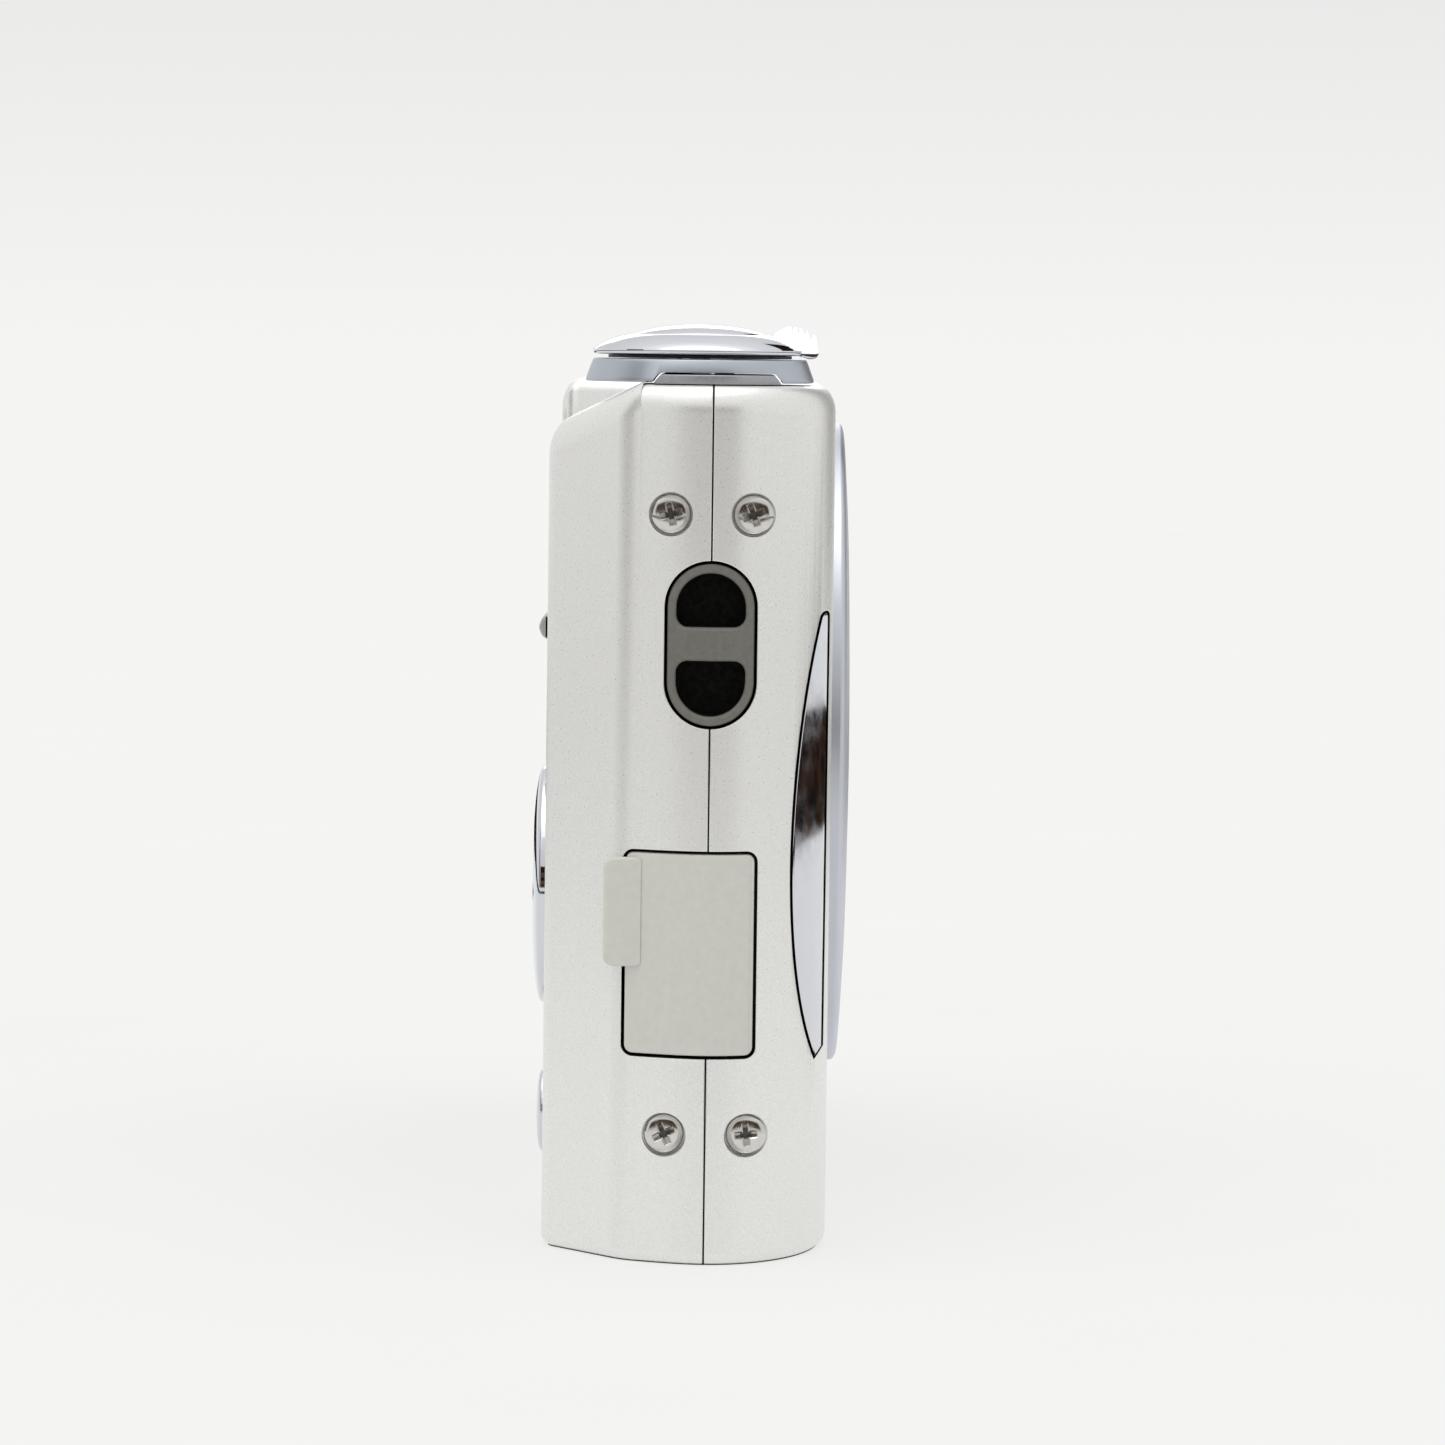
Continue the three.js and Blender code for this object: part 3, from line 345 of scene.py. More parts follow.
def ease_edges(obj, width, chosen=None, angle=40, segments=2, squeeze=1.0, weld=0.02, crisp=False):
    """Rounds off edges sharper than an angle; squeeze makes the round deeper than it is wide.

    A crisp round is marked with seams, so that its shading stays off the faces beside it.
    """
    bm = bmesh.new()
    bm.from_mesh(obj.data)
    bmesh.ops.dissolve_limit(
        bm, angle_limit=math.radians(0.7), verts=bm.verts, edges=bm.edges, delimit={"MATERIAL"},
    )
    bmesh.ops.scale(bm, vec=(1, 1, squeeze), verts=bm.verts)
    bmesh.ops.remove_doubles(bm, verts=bm.verts, dist=weld)
    bmesh.ops.dissolve_degenerate(bm, dist=0.002, edges=bm.edges)
    bm.normal_update()
    sharp = [
        e for e in bm.edges
        if len(e.link_faces) == 2 and e.calc_face_angle() > math.radians(angle)
    ]
    edges = [e for e in sharp if not chosen or chosen(e)]
    made = bmesh.ops.bevel(
        bm, geom=edges, offset=width, offset_type="OFFSET", segments=segments, profile=0.5,
        affect="EDGES", clamp_overlap=False,
    )
    if crisp:
        rounds = set(made["faces"])
        for edge in {e for face in rounds for e in face.edges}:
            edge.seam = any(face not in rounds for face in edge.link_faces)
    bmesh.ops.scale(bm, vec=(1, 1, 1 / squeeze), verts=bm.verts)
    bm.to_mesh(obj.data)
    bm.free()
    return obj


def at_openings(edge):
    """An edge where the paint meets an opening's wall, but not a screw's seat."""
    return {face.material_index for face in edge.link_faces} == {OUTSIDE, INSIDE}


def between_surfaces(edge):
    """Whether an edge is where an opening meets the outer surface."""
    kinds = {f.material_index for f in edge.link_faces}
    return OUTSIDE in kinds and len(kinds) == 2


def finished(obj, name, body, slot, *materials, replaces=(), smooth=38):
    """Names a working object, gives it its finishes and makes it ride on its body."""
    obj.name = name
    obj.data.name = name
    obj.data.transform(Matrix.Diagonal((MM, MM, MM, 1)))
    surfaces = [min(polygon.material_index, len(materials) - 1) for polygon in obj.data.polygons]
    obj.data.materials.clear()
    for material in materials:
        obj.data.materials.append(material)
    obj.data.polygons.foreach_set("material_index", surfaces)
    obj.data.shade_smooth()
    obj.data.set_sharp_from_angle(angle=math.radians(smooth))
    for edge in obj.data.edges:
        edge.use_edge_sharp = edge.use_edge_sharp or edge.use_seam
    weighted = obj.modifiers.new("weighted_normals", "WEIGHTED_NORMAL")
    weighted.keep_sharp = True
    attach(obj, body)
    if replaces:
        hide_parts(*replaces)
    return obj


def walls(growth, start=-BEYOND, end=None, surface=OUTSIDE):
    """The casing's upright walls as a solid, grown or shrunk."""
    top = TOP + BEYOND if end is None else end
    return scratch(prism(PLAN, start, top, growth), UP, surface)


# --- finishes

class Finish:
    """A procedural material under construction, placed by object coordinates in metres."""

    def __init__(self, name, colour, roughness=0.5, metallic=0.0, **sockets):
        self.material = bpy.data.materials.new(name + "_finish")
        self.material.use_nodes = True
        self.nodes = self.material.node_tree.nodes
        self.links = self.material.node_tree.links
        self.sockets = self.nodes["Principled BSDF"].inputs
        self.place = self.nodes.new("ShaderNodeTexCoord").outputs["Object"]
        self.colour = self.rgba(colour)
        values = {"Base_Color": self.colour, "Roughness": roughness, "Metallic": metallic, **sockets}
        for socket, value in values.items():
            self.sockets[socket.replace("_", " ")].default_value = value

    @staticmethod
    def rgba(colour):
        """Linear colour from display values between 0 and 255."""
        shares = [value / 255 for value in colour]
        linear = [v / 12.92 if v <= 0.04 else ((v + 0.055) / 1.055) ** 2.4 for v in shares]
        return (*linear, 1)

    def node(self, kind, **values):
        """New node, with sockets set to numbers or linked to another node's output."""
        node = self.nodes.new("ShaderNode" + kind)
        for name, value in values.items():
            socket = node.inputs[name.replace("_", " ")]
            if isinstance(value, bpy.types.NodeSocket):
                self.links.new(value, socket)
            else:
                socket.default_value = value
        return node

    def maths(self, kind, operation, first, second=None):
        """Output of a Math or VectorMath node."""
        node = self.nodes.new("ShaderNode" + kind)
        node.operation = operation
        self.links.new(first, node.inputs[0])
        if second is not None:
            node.inputs[1].default_value = second
        return node.outputs["Value" if operation == "LENGTH" else 0]

    def noise(self, size, detail, stretch):
        """Noise whose features are about so many millimetres across."""
        place = self.place
        if stretch:
            place = self.node("Mapping", Scale=stretch, Vector=place).outputs["Vector"]
        texture = self.node("TexNoise", Scale=1 / (size * MM), Detail=detail, Vector=place)
        return texture.outputs["Fac"]

    def mapped(self, value, low, high, start, end):
        """A value between start and end, made to run from low to high."""
        node = self.node("MapRange", Value=value, From_Min=start, From_Max=end, To_Min=low, To_Max=high)
        return node.outputs["Result"]

    def varied(self, other, size, share=1.0, detail=2.0, contrast=(0.3, 0.7), stretch=None):
        """Colour that wanders towards another in patches."""
        node = self.nodes.new("ShaderNodeMix")
        node.data_type = "RGBA"
        first, second, result = node.inputs[6], node.inputs[7], node.outputs[2]
        base = self.sockets["Base Color"]
        if base.is_linked:
            self.links.new(base.links[0].from_socket, first)
        else:
            first.default_value = self.colour
        second.default_value = self.rgba(other)
        patches = self.mapped(self.noise(size, detail, stretch), 0, share, *contrast)
        self.links.new(patches, node.inputs["Factor"])
        self.links.new(result, base)
        return self

    def uneven(self, low, high, size, detail=3.0, stretch=None):
        """Roughness that wanders between two values."""
        value = self.mapped(self.noise(size, detail, stretch), low, high, 0.3, 0.7)
        self.links.new(value, self.sockets["Roughness"])
        return self

    def bumped(self, depth, size, detail=2.0, stretch=None, texture=None):
        """Relief so many millimetres deep."""
        height = self.noise(size, detail, stretch) if texture is None else texture
        bump = self.node("Bump", Strength=1.0, Distance=depth * MM, Height=height)
        self.links.new(bump.outputs["Normal"], self.sockets["Normal"])
        return self

    def rings(self, centre, period):
        """Rings round an axis along Y, repeated every so many millimetres, from 0 to 1."""
        offset = self.maths("VectorMath", "SUBTRACT", self.place, centre)
        flat = self.maths("VectorMath", "MULTIPLY", offset, (1, 0, 1))
        distance = self.maths("VectorMath", "LENGTH", flat)
        angle = self.maths("Math", "MULTIPLY", distance, 2 * math.pi / (period * MM))
        return self.mapped(self.maths("Math", "SINE", angle), 0, 1, -1, 1)


def textured(name, colour, roughness, metallic, patches, uneven, relief=None, stretch=None, **sockets):
    """Material with patches of (colour, size, share, detail, contrast), an uneven roughness of
    (low, high, size) and a relief of (depth, size, detail), with the sizes in millimetres."""
    finish = Finish(name, colour, roughness, metallic, **sockets)
    for patch in patches:
        finish.varied(*patch, stretch=stretch)
    finish.uneven(*uneven, stretch=stretch)
    if relief:
        finish.bumped(*relief, stretch=stretch)
    return finish.material


def machined(name, colour, roughness, metallic, patch, uneven, depth, period, stretch=None):
    """Turned metal, with fine rings round the lens axis."""
    metal = Finish(name, colour, roughness, metallic).varied(*patch, stretch=stretch)
    rings = metal.rings((LENS.x * MM, 0, LENS.z * MM), period)
    return metal.uneven(*uneven).bumped(depth, 0, texture=rings).material


def blue_chrome(name, colour, other):
    return textured(name, colour, 0.4, 0.95, [(other, 3, 0.4)], (0.36, 0.42, 5), (0.0002, 2))


def clear_plastic(name, colour, tint):
    return textured(name, colour, 0.06, 0.0, [(tint, 1.5, 0.6)], (0.03, 0.1, 0.9), (0.001, 0.8),
                    IOR=1.49, Transmission_Weight=0.85)


# Casing: fine metallic paint, pale and even with a tiny sparkle, over dark plastic
PAINT = textured(
    "silver_paint", (239, 239, 236), 0.3, 0.6,
    [((226, 226, 223), 0.12, 0.8, 1.0, (0.35, 0.65)), ((247, 247, 245), 0.18, 0.4, 1.0, (0.55, 0.75)),
     ((233, 232, 229), 14, 0.3)],
    (0.27, 0.36, 0.2), (0.0012, 0.11, 1.0))
COVER_INSIDE = textured("cover_inside", (38, 38, 40), 0.7, 0.0, [((52, 52, 54), 1.5, 0.5)],
                        (0.6, 0.8, 0.6), (0.01, 0.2))
SATIN_GREY = textured("satin_grey", (172, 173, 177), 0.32, 0.6, [((156, 157, 161), 0.18, 0.6, 1.0)],
                      (0.3, 0.42, 0.3), (0.003, 0.15, 1.0))

# Metals
BLUE_CHROME = blue_chrome("blue_chrome", (192, 197, 206), (184, 189, 199))
PALE_CHROME = blue_chrome("pale_chrome", (206, 209, 218), (198, 201, 211))
CHROME = textured("bright_chrome", (217, 219, 225), 0.05, 1.0, [((206, 209, 216), 4, 0.4)],
                  (0.03, 0.09, 1.6), (0.0004, 1.4))
NICKEL = textured("nickel", (216, 214, 210), 0.14, 1.0, [((196, 193, 188), 0.5, 0.35)],
                  (0.1, 0.2, 0.5), (0.0006, 0.4))
# Screw recesses: the nickel painted much darker deep in the cross recess, as painted shade
SCREW_RECESS_SHADE = textured("recess", (104, 102, 99), 0.5, 1.0, [((86, 84, 81), 0.4, 0.5)],
                        (0.42, 0.55, 0.3), (0.001, 0.2))
STEEL = textured("steel", (156, 158, 162), 0.32, 0.95, [((140, 142, 146), 0.6, 0.6)],
                 (0.25, 0.42, 0.4), (0.002, 0.2), stretch=(1, 1, 9))
ANODISED = machined("anodised", (150, 154, 162), 0.28, 0.9, ((138, 142, 150), 0.5, 0.6),
                    (0.22, 0.34, 0.6), 0.001, 0.12, stretch=(1, 12, 1))
BLACK_RING = machined("black_ring", (34, 34, 37), 0.35, 0.3, ((44, 44, 48), 0.8, 0.5),
                      (0.3, 0.42, 0.7), 0.002, 0.22)

# Plastics and rubber
DARK_PLASTIC = textured("dark_plastic", (112, 110, 104), 0.5, 0.0, [((101, 98, 92), 0.35, 0.7)],
                        (0.42, 0.58, 0.4), (0.006, 0.12))
# Strap-lug holes: walls painted near black with almost no gloss, as painted shade inside the holes
LUG_HOLE_SHADE = textured("lug_hole_painted_shade", (36, 35, 33), 0.9, 0.0, [((12, 12, 11), 0.4, 0.7)],
                    (0.85, 1.0, 0.4), (0.006, 0.12), Specular_IOR_Level=0.05)
RUBBER = textured(
    "pale_rubber", (206, 206, 199), 0.62, 0.0, [((199, 199, 191), 0.5, 0.7, 3.0)],
    (0.55, 0.7, 0.4), (0.006, 0.1), Subsurface_Weight=0.25, Subsurface_Scale=0.6 * MM,
    Sheen_Weight=0.15, Subsurface_Radius=(1.0, 0.9, 0.6))
BLACK = textured("black_plastic", (28, 28, 30), 0.45, 0.0, [((38, 38, 41), 0.6, 0.6)],
                 (0.38, 0.55, 0.5), (0.008, 0.15))
GREY_PLASTIC = textured("grey_plastic", (178, 178, 176), 0.4, 0.15, [((164, 164, 161), 0.3, 0.6)],
                        (0.34, 0.48, 0.4), (0.005, 0.12))
WRAP = textured("battery_wrap", (52, 55, 62), 0.42, 0.0, [((62, 66, 74), 4, 0.6)],
                (0.35, 0.5, 1), (0.004, 0.5))
BOARD = textured(
    "circuit_board", (26, 84, 52), 0.4, 0.0,
    [((20, 66, 42), 1.2, 0.9, 4.0, (0.45, 0.55)), ((150, 134, 70), 0.5, 0.9, 1.0, (0.68, 0.72))],
    (0.3, 0.5, 0.8), (0.02, 0.9))

# Glass, windows and the screen
GLASS = textured("lens_glass", (22, 24, 34), 0.02, 0.0, [((34, 26, 52), 5, 0.8)], (0.01, 0.03, 3),
                 Coat_Weight=1.0, Coat_Roughness=0.0, Coat_Tint=(0.55, 0.45, 0.9, 1), IOR=1.6)
CLEAR = clear_plastic("clear_plastic", (236, 240, 242), (224, 230, 236))
AMBER = clear_plastic("amber_plastic", (232, 150, 90), (210, 120, 70))
GREEN = clear_plastic("green_plastic", (150, 214, 160), (120, 190, 130))
SCREEN_PLASTIC = textured("screen_plastic", (14, 15, 18), 0.06, 0.0, [((20, 22, 26), 9, 0.6)],
                          (0.04, 0.09, 6), (0.0004, 2.5), Coat_Weight=0.6, Coat_Roughness=0.02)
DISPLAY = textured("display", (36, 40, 48), 0.1, 0.0, [((44, 49, 60), 14, 0.8)],
                   (0.08, 0.14, 8), (0.0004, 0.12), Coat_Weight=0.5, Coat_Roughness=0.03)


# --- shorter ways to make and cut

def endward(outline, x0, x1, growth=0, ease=0, surface=OUTSIDE):
    """Outline in depth and z, extruded between two x."""
    return scratch(prism(outline, -x1, -x0, growth, ease), ENDWARD, surface)


def forward(outline, depth0, depth1, growth=0, ease=0, surface=OUTSIDE):
    """Outline in x and z, extruded between two depths."""
    return scratch(prism(outline, depth0, depth1, growth, ease), FORWARD, surface)


def upward(outline, z0, z1, growth=0, ease=0, surface=OUTSIDE):
    """Outline in x and distance behind the parting plane, extruded between two heights."""
    return scratch(prism(outline, z0, z1, growth, ease), UP, surface)


def turned_up(profile, x, depth, segments=96, surface=OUTSIDE):
    return scratch(turned(profile, segments), at(UP, x, -depth), surface)


def turned_forward(profile, x, z, segments=96, surface=OUTSIDE):
    return scratch(turned(profile, segments), at(FORWARD, x, z), surface)


def block(x0, x1, depth0, depth1, z0, z1, surface=OUTSIDE):
    return scratch(box(x0, x1, depth0, depth1, z0, z1), surface=surface)


def rod(radius, start, end):
    return [(0, start), (radius, start), (radius, end), (0, end)]


# --- casing

LEDGE_WALL_SLOPE = LEDGE_END_RUN / 3


def above_ledge(drop, surface=OUTSIDE):
    """What is missing above the sloping ledge at the top rear of the grip."""
    high = TOP + BEYOND
    back = REAR - BEYOND
    fall = LEDGE_FALL * (LEDGE_EDGE - back)
    section = [(LEDGE_EDGE, TOP - drop), (LEDGE_EDGE, high), (back, high), (back, TOP - drop - fall)]
    deep = TOP - 10
    profile = [
        (GRIP_X - BEYOND, deep),
        (LEDGE_END_X + drop - 2 * LEDGE_WALL_SLOPE, deep),
        (LEDGE_END_X + drop + LEDGE_END_RUN, high),
        (GRIP_X - BEYOND, high),
    ]
    wedge = endward(section, GRIP_X - BEYOND, LEDGE_END_X + 3 * BEYOND, surface=surface)
    return keep(wedge, forward(profile, REAR - 2 * BEYOND, FRONT, surface=surface))


def casing_outside():
    body = scratch(stacked(PLAN, levels(0, TOP, low=(BASE_ROUND, BASE_ROUND), steps=8)), UP)
    cut(body, above_ledge(0))

    def at_top(edge):
        tilts = sorted(f.normal.z for f in edge.link_faces)
        return abs(tilts[0]) < 0.1 and tilts[1] > 0.2

    def at_crest(edge):
        tilts = sorted(f.normal.z for f in edge.link_faces)
        return 0.2 < tilts[0] < 0.6 and tilts[1] > 0.95 and edge.is_convex

    ease_edges(body, 0.9, at_crest, segments=5)
    return ease_edges(body, EDGE_ACROSS, at_top, angle=20, segments=9, squeeze=EDGE_ACROSS / EDGE_DOWN)


def casing_hollow():
    inside = upward(PLAN, FLOOR, TOP - ROOF, -WALL, surface=INSIDE)
    cut(inside, above_ledge(ROOF, INSIDE))
    for screw in SIDE_SCREWS:
        low, high = span(screw)
        centre = (low + high) / 2
        depth = PARTING_Y - centre.y
        near, far = sorted((math.copysign(1.1, depth), math.copysign(4.7, depth)))
        x0, x1 = (GRIP_X, GRIP_X + 4) if centre.x < 0 else (FAR_X - 4, FAR_X)
        cut(inside, block(x0, x1, near, far, centre.z - 2, centre.z + 2, INSIDE))
    for screw in BASE_SCREWS:
        centre = middle(screw)
        cut(inside, turned_up(rod(2.1, 0, 3.6), centre.x, PARTING_Y - centre.y, 32, INSIDE))
    return inside


CORNERS = [f"{height}_{side}" for height in ("upper", "lower") for side in ("front", "rear")]
SIDE_SCREWS = [f"{end}_screw_{corner}" for end in ("grip", "far") for corner in CORNERS]
BASE_SCREWS = ["base_screw_1", "base_screw_2", "base_screw_3"]
COUNTERBORE_RADIUS = 1.5
SHANK_HOLE_RADIUS = 0.95
HEAD_HEIGHT = 0.78


def screw_seat(screw):
    """Where a screw's head sits, and the direction that the head faces."""
    low, high = span(screw)
    centre = (low + high) / 2
    if screw.startswith("base"):
        return Vector((centre.x, centre.y, low.z + HEAD_HEIGHT)), Vector((0, 0, -1))
    if screw.startswith("grip"):
        return Vector((low.x + HEAD_HEIGHT, centre.y, centre.z)), Vector((-1, 0, 0))
    return Vector((high.x - HEAD_HEIGHT, centre.y, centre.z)), Vector((1, 0, 0))


def screw_place(screw, turn=0.0):
    seat, facing = screw_seat(screw)
    faced = facing.to_track_quat("Z", "Y").to_matrix().to_4x4()
    return Matrix.Translation(seat) @ faced @ Matrix.Rotation(turn, 4, "Z")


def screw_holes():
    holes = []
    for screw in SIDE_SCREWS + BASE_SCREWS:
        place = screw_place(screw)
        holes.append(scratch(turned(rod(COUNTERBORE_RADIUS, 0, 5), 64), place, LINING))
        holes.append(scratch(turned(rod(SHANK_HOLE_RADIUS, -5, 0.1), 32), place, INSIDE))
    return holes


def jack_window():
    low, high = span("jack_cover")
    return rounded_rectangle(JACK_REAR, JACK_FRONT, low.z - JACK_GAP, high.z + JACK_GAP, 0.75)


JACK_REAR = -5.8
JACK_GAP = 0.22
JACK_FRONT = depth_span("jack_cover")[1] + JACK_GAP


def lug_outline():
    low, high = span("strap_lug")
    rear, front = depth_span("strap_lug")
    return stadium(rear, front, low.z, high.z, 28)


def accent_outline():
    """The crescent set into the grip's front corner, in depth and z."""
    low, high = span("grip_accent")
    tip = high.z
    outline = [(7.95, low.z + 0.5), (8.02, tip - 0.1)]
    outline += bezier([(8.0, tip), (7.93, tip + 0.2), (7.72, tip)], 4)
    outline += bezier([(7.65, tip - 0.1), (5.6, tip - 8.5), (4.75, tip - 22.8), (7.5, low.z)], 60)
    return without_repeats(outline)


def plan_rectangle(node, growth=0.0, radius=1.2):
    """A node's outline from above, as a rounded rectangle."""
    low, high = span(node)
    rear, front = depth_span(node)
    return rounded_rectangle(low.x - growth, high.x + growth, -front - growth, -rear + growth, radius)


def face_rectangle(node, growth=0.0, radius=1.0):
    """A node's outline from the front, as a rounded rectangle."""
    low, high = span(node)
    return rounded_rectangle(low.x - growth, high.x + growth, low.z - growth, high.z + growth, radius)


def power_outline():
    low, high = span("power_button")
    rear, front = depth_span("power_button")
    return stadium(low.x, high.x, -front, -rear, 24)


def shared_openings():
    """Openings that run through both covers."""
    tripod = middle("tripod_bush")
    speaker = middle("speaker")
    bush_radius = (span("tripod_bush")[1].x - span("tripod_bush")[0].x) / 2 + 0.15
    return [
        endward(lug_outline(), GRIP_X - BEYOND, GRIP_X + 6, FIT_GAP, surface=INSIDE),
        endward(jack_window(), GRIP_X - BEYOND, GRIP_X + 6, surface=INSIDE),
        turned_up(rod(2.7, TOP - 3, TOP + 1), RELEASE.x, RELEASE_DEPTH, surface=INSIDE),
        turned_up(rod(bush_radius, -1, 3), tripod.x, PARTING_Y - tripod.y, surface=INSIDE),
        upward(plan_rectangle("battery_door", 0.25), -1, 2, surface=INSIDE),
        upward(power_outline(), TOP - 3, TOP + 1, FIT_GAP, surface=INSIDE),
        block(speaker.x - 3.5, speaker.x + 3.5, -1.2, 1.2, TOP - 3, TOP + 1, INSIDE),
        *screw_holes(),
    ]


def round_hole(node, gap, depth0, depth1):
    """Hole for a round node that faces the front or the rear."""
    low, high = span(node)
    centre = (low + high) / 2
    hole = rod((high.x - low.x) / 2 + gap, depth0, depth1)
    return turned_forward(hole, centre.x, centre.z, surface=INSIDE)


def half_casing(depth0, depth1):
    """The hollow casing between two depths."""
    shell = casing_outside()
    keep(shell, block(GRIP_X - 1, FAR_X + 1, depth0, depth1, -1, TOP + 1, INSIDE))
    return cut(shell, casing_hollow())


def finished_shell(shell, name, node):
    ease_edges(shell, 0.06, at_openings, angle=45, crisp=True)
    return finished(shell, name, "camera_body", "silver_paint", PAINT, COVER_INSIDE, PAINT,
                    replaces=[node])


def make_front_shell():
    shell = half_casing(SEAM / 2, FRONT + 1)
    pocket = endward(accent_outline(), GRIP_X - 1, GRIP_X + 11.4, 0.17, surface=INSIDE)
    cut(pocket, walls(-0.95, surface=INSIDE))
    cut(shell, pocket, *shared_openings())
    cut(shell, turned_forward(rod(16.6, 5, 10), LENS.x, LENS.z, surface=INSIDE))
    cut(shell, forward(face_rectangle("flash_window", 0.15), 5, 10, surface=INSIDE))
    cut(shell, round_hole("focus_lamp", 0.15, 5, 10))
    return finished_shell(shell, "front_shell", "front_cover")


REAR_BUTTONS = {"menu_button": 2.93, "display_button": 2.0}
PAD_HOLE_RADIUS = 8.65


def make_rear_shell():
    shell = half_casing(REAR - 1, -SEAM / 2)
    cut(shell, *shared_openings())
    cut(shell, forward(face_rectangle("screen_window", 0.15, 1.6), REAR - 1, -9, surface=INSIDE))
    cut(shell, turned_forward(rod(PAD_HOLE_RADIUS, REAR - 1, -9), PAD.x, PAD.z, 160, INSIDE))
    for button, radius in REAR_BUTTONS.items():
        centre = middle(button)
        hole = rod(radius + FIT_GAP, REAR - 1, -9)
        cut(shell, turned_forward(hole, centre.x, centre.z, surface=INSIDE))
    slider = middle("mode_slider")
    slot = rounded_rectangle(slider.x - 4.2, slider.x + 4.2, slider.z - 0.75, slider.z + 0.75, 0.5)
    cut(shell, forward(slot, REAR - 1, -9, surface=INSIDE))
    cut(shell, round_hole("status_lamp", 0.15, REAR - 1, -9))
    return finished_shell(shell, "rear_shell", "rear_cover")


make_front_shell()
make_rear_shell()


# --- top: strip, collar, lever, buttons

STRIP_REAR, STRIP_FRONT = depth_span("top_strip")
STRIP_BOTTOM, STRIP_TOP = span("top_strip")[0].z, span("top_strip")[1].z
STRIP_TAPER = 0.5


def strip_section():
    return eased([
        (STRIP_REAR, STRIP_BOTTOM),
        (STRIP_FRONT, STRIP_BOTTOM),
        (STRIP_FRONT - STRIP_TAPER, STRIP_TOP),
        (STRIP_REAR + STRIP_TAPER, STRIP_TOP),
    ], 0.22, 5)


def make_strip_bar():
    strip = endward(strip_section(), GRIP_X, span("top_strip")[1].x, ease=0.1)
    keep(strip, walls(-1.45))
    ease_edges(strip, 0.07, lambda e: abs(e.verts[0].co.x - e.verts[1].co.x) < 1.3, 45, 3)
    cut(strip, turned_up(rod(2.7, TOP - 1, TOP + 2), RELEASE.x, RELEASE_DEPTH, surface=LINING))
    cut(strip, upward(power_outline(), TOP - 1, TOP + 2, FIT_GAP, surface=LINING))
    speaker = middle("speaker")
    for shift in (-3, -1.5, 0, 1.5, 3):
        cut(strip, turned_up(rod(0.4, TOP - 1, TOP + 2), speaker.x + shift, 0, 32, LINING))
    return finished(strip, "strip_bar", "camera_body", "satin_grey", SATIN_GREY, BLACK, BLACK,
                    replaces=["top_strip"])


def make_collar_ring():
    low, high = span("zoom_collar")
    base = (high.x - low.x) / 2
    top = base - 0.49
    profile = eased([
        (2.7, low.z), (base, low.z), (base, low.z + 0.22), (top + 0.06, high.z - 0.22),
        (top - 0.04, high.z), (top - 0.5, high.z), (top - 0.62, high.z - 0.12), (2.7, high.z - 0.12),
    ], 0.14, 5)
    collar = turned_up(profile, RELEASE.x, RELEASE_DEPTH, 200)
    channel = endward(strip_section(), RELEASE.x - 10, RELEASE.x + 10, 0.13, surface=LINING)
    cut(collar, channel)
    ease_edges(collar, 0.05, between_surfaces, 45)
    return finished(collar, "collar_ring", "camera_body", "blue_chrome", BLUE_CHROME, BLACK, BLACK,
                    replaces=["zoom_collar"])


LEVER_TAB = [
    (5.0, 62.5), (5.0, 63.3), (5.85, 63.78), (6.2, 63.88), (7.35, 63.66), (8.08, 63.15), (8.1, 62.0),
    (7.6, 61.87), (7.2, 62.0),
]


def make_lever_disc():
    low = span("zoom_lever")[0]
    edge = 7.42
    bottom = 61.82
    bowl = 4.8
    crown = bezier([(edge, bottom + 0.36), (6.95, 62.6), (6.1, 63.0), (bowl + 0.4, 63.2)], 16)
    lip = bezier([(bowl + 0.4, 63.2), (bowl + 0.02, 63.3), (bowl, 62.95)], 8)
    profile = [(1.7, low.z), (2.4, low.z), (2.4, bottom), (6.3, bottom), (edge - 0.22, bottom + 0.02)]
    profile += bezier([(edge - 0.22, bottom + 0.02), (edge, bottom + 0.05), (edge, bottom + 0.3)], 6)
    profile += crown + lip + [(bowl, 62.35), (1.7, 62.35)]
    disc = turned_up(without_repeats(profile), RELEASE.x, RELEASE_DEPTH, 200)
    tab_section = [(RELEASE_DEPTH + depth, z) for depth, z in eased(LEVER_TAB, 0.22, 5)]
    tab = endward(tab_section, RELEASE.x - 2.5, RELEASE.x + 2.5, ease=0.3)
    roof = [(2.7, 60), (2.7, 61.75), (0.9, 64.1), (-0.9, 64.1), (-2.7, 61.75), (-2.7, 60)]
    keep(tab, forward([(RELEASE.x + a, z) for a, z in roof], RELEASE_DEPTH, RELEASE_DEPTH + 12))
    taper = upward([(RELEASE.x + a, -RELEASE_DEPTH + b) for a, b in
                    ((-2.9, -3.5), (-2.4, -9), (2.4, -9), (2.9, -3.5))], TOP, TOP + 6)
    keep(tab, taper)
    for step in range(4):
        along = RELEASE_DEPTH + 6.35 + 0.42 * step
        top = 63.92 - 0.2 * step - 0.1 * max(0, step - 2)
        groove = [(along - 0.15, top + 0.3), (along, top - 0.3), (along + 0.15, top + 0.3)]
        cut(tab, endward(groove, RELEASE.x - 3, RELEASE.x + 3))
    ease_edges(tab, 0.05, lambda e: e.is_convex, 35, 2, weld=0.005)
    join(disc, tab)
    under, over = bottom - 0.22, bottom - 0.02
    ring = [(2.5, under), (6.35, under), (6.35, over), (2.5, over)]
    neck = turned_up(ring, RELEASE.x, RELEASE_DEPTH, surface=INSIDE)
    finished(neck, "lever_neck", "zoom_lever", "black_plastic", BLACK)
    return finished(disc, "lever_disc", "zoom_lever", "bright_chrome", CHROME, replaces=["zoom_lever"])


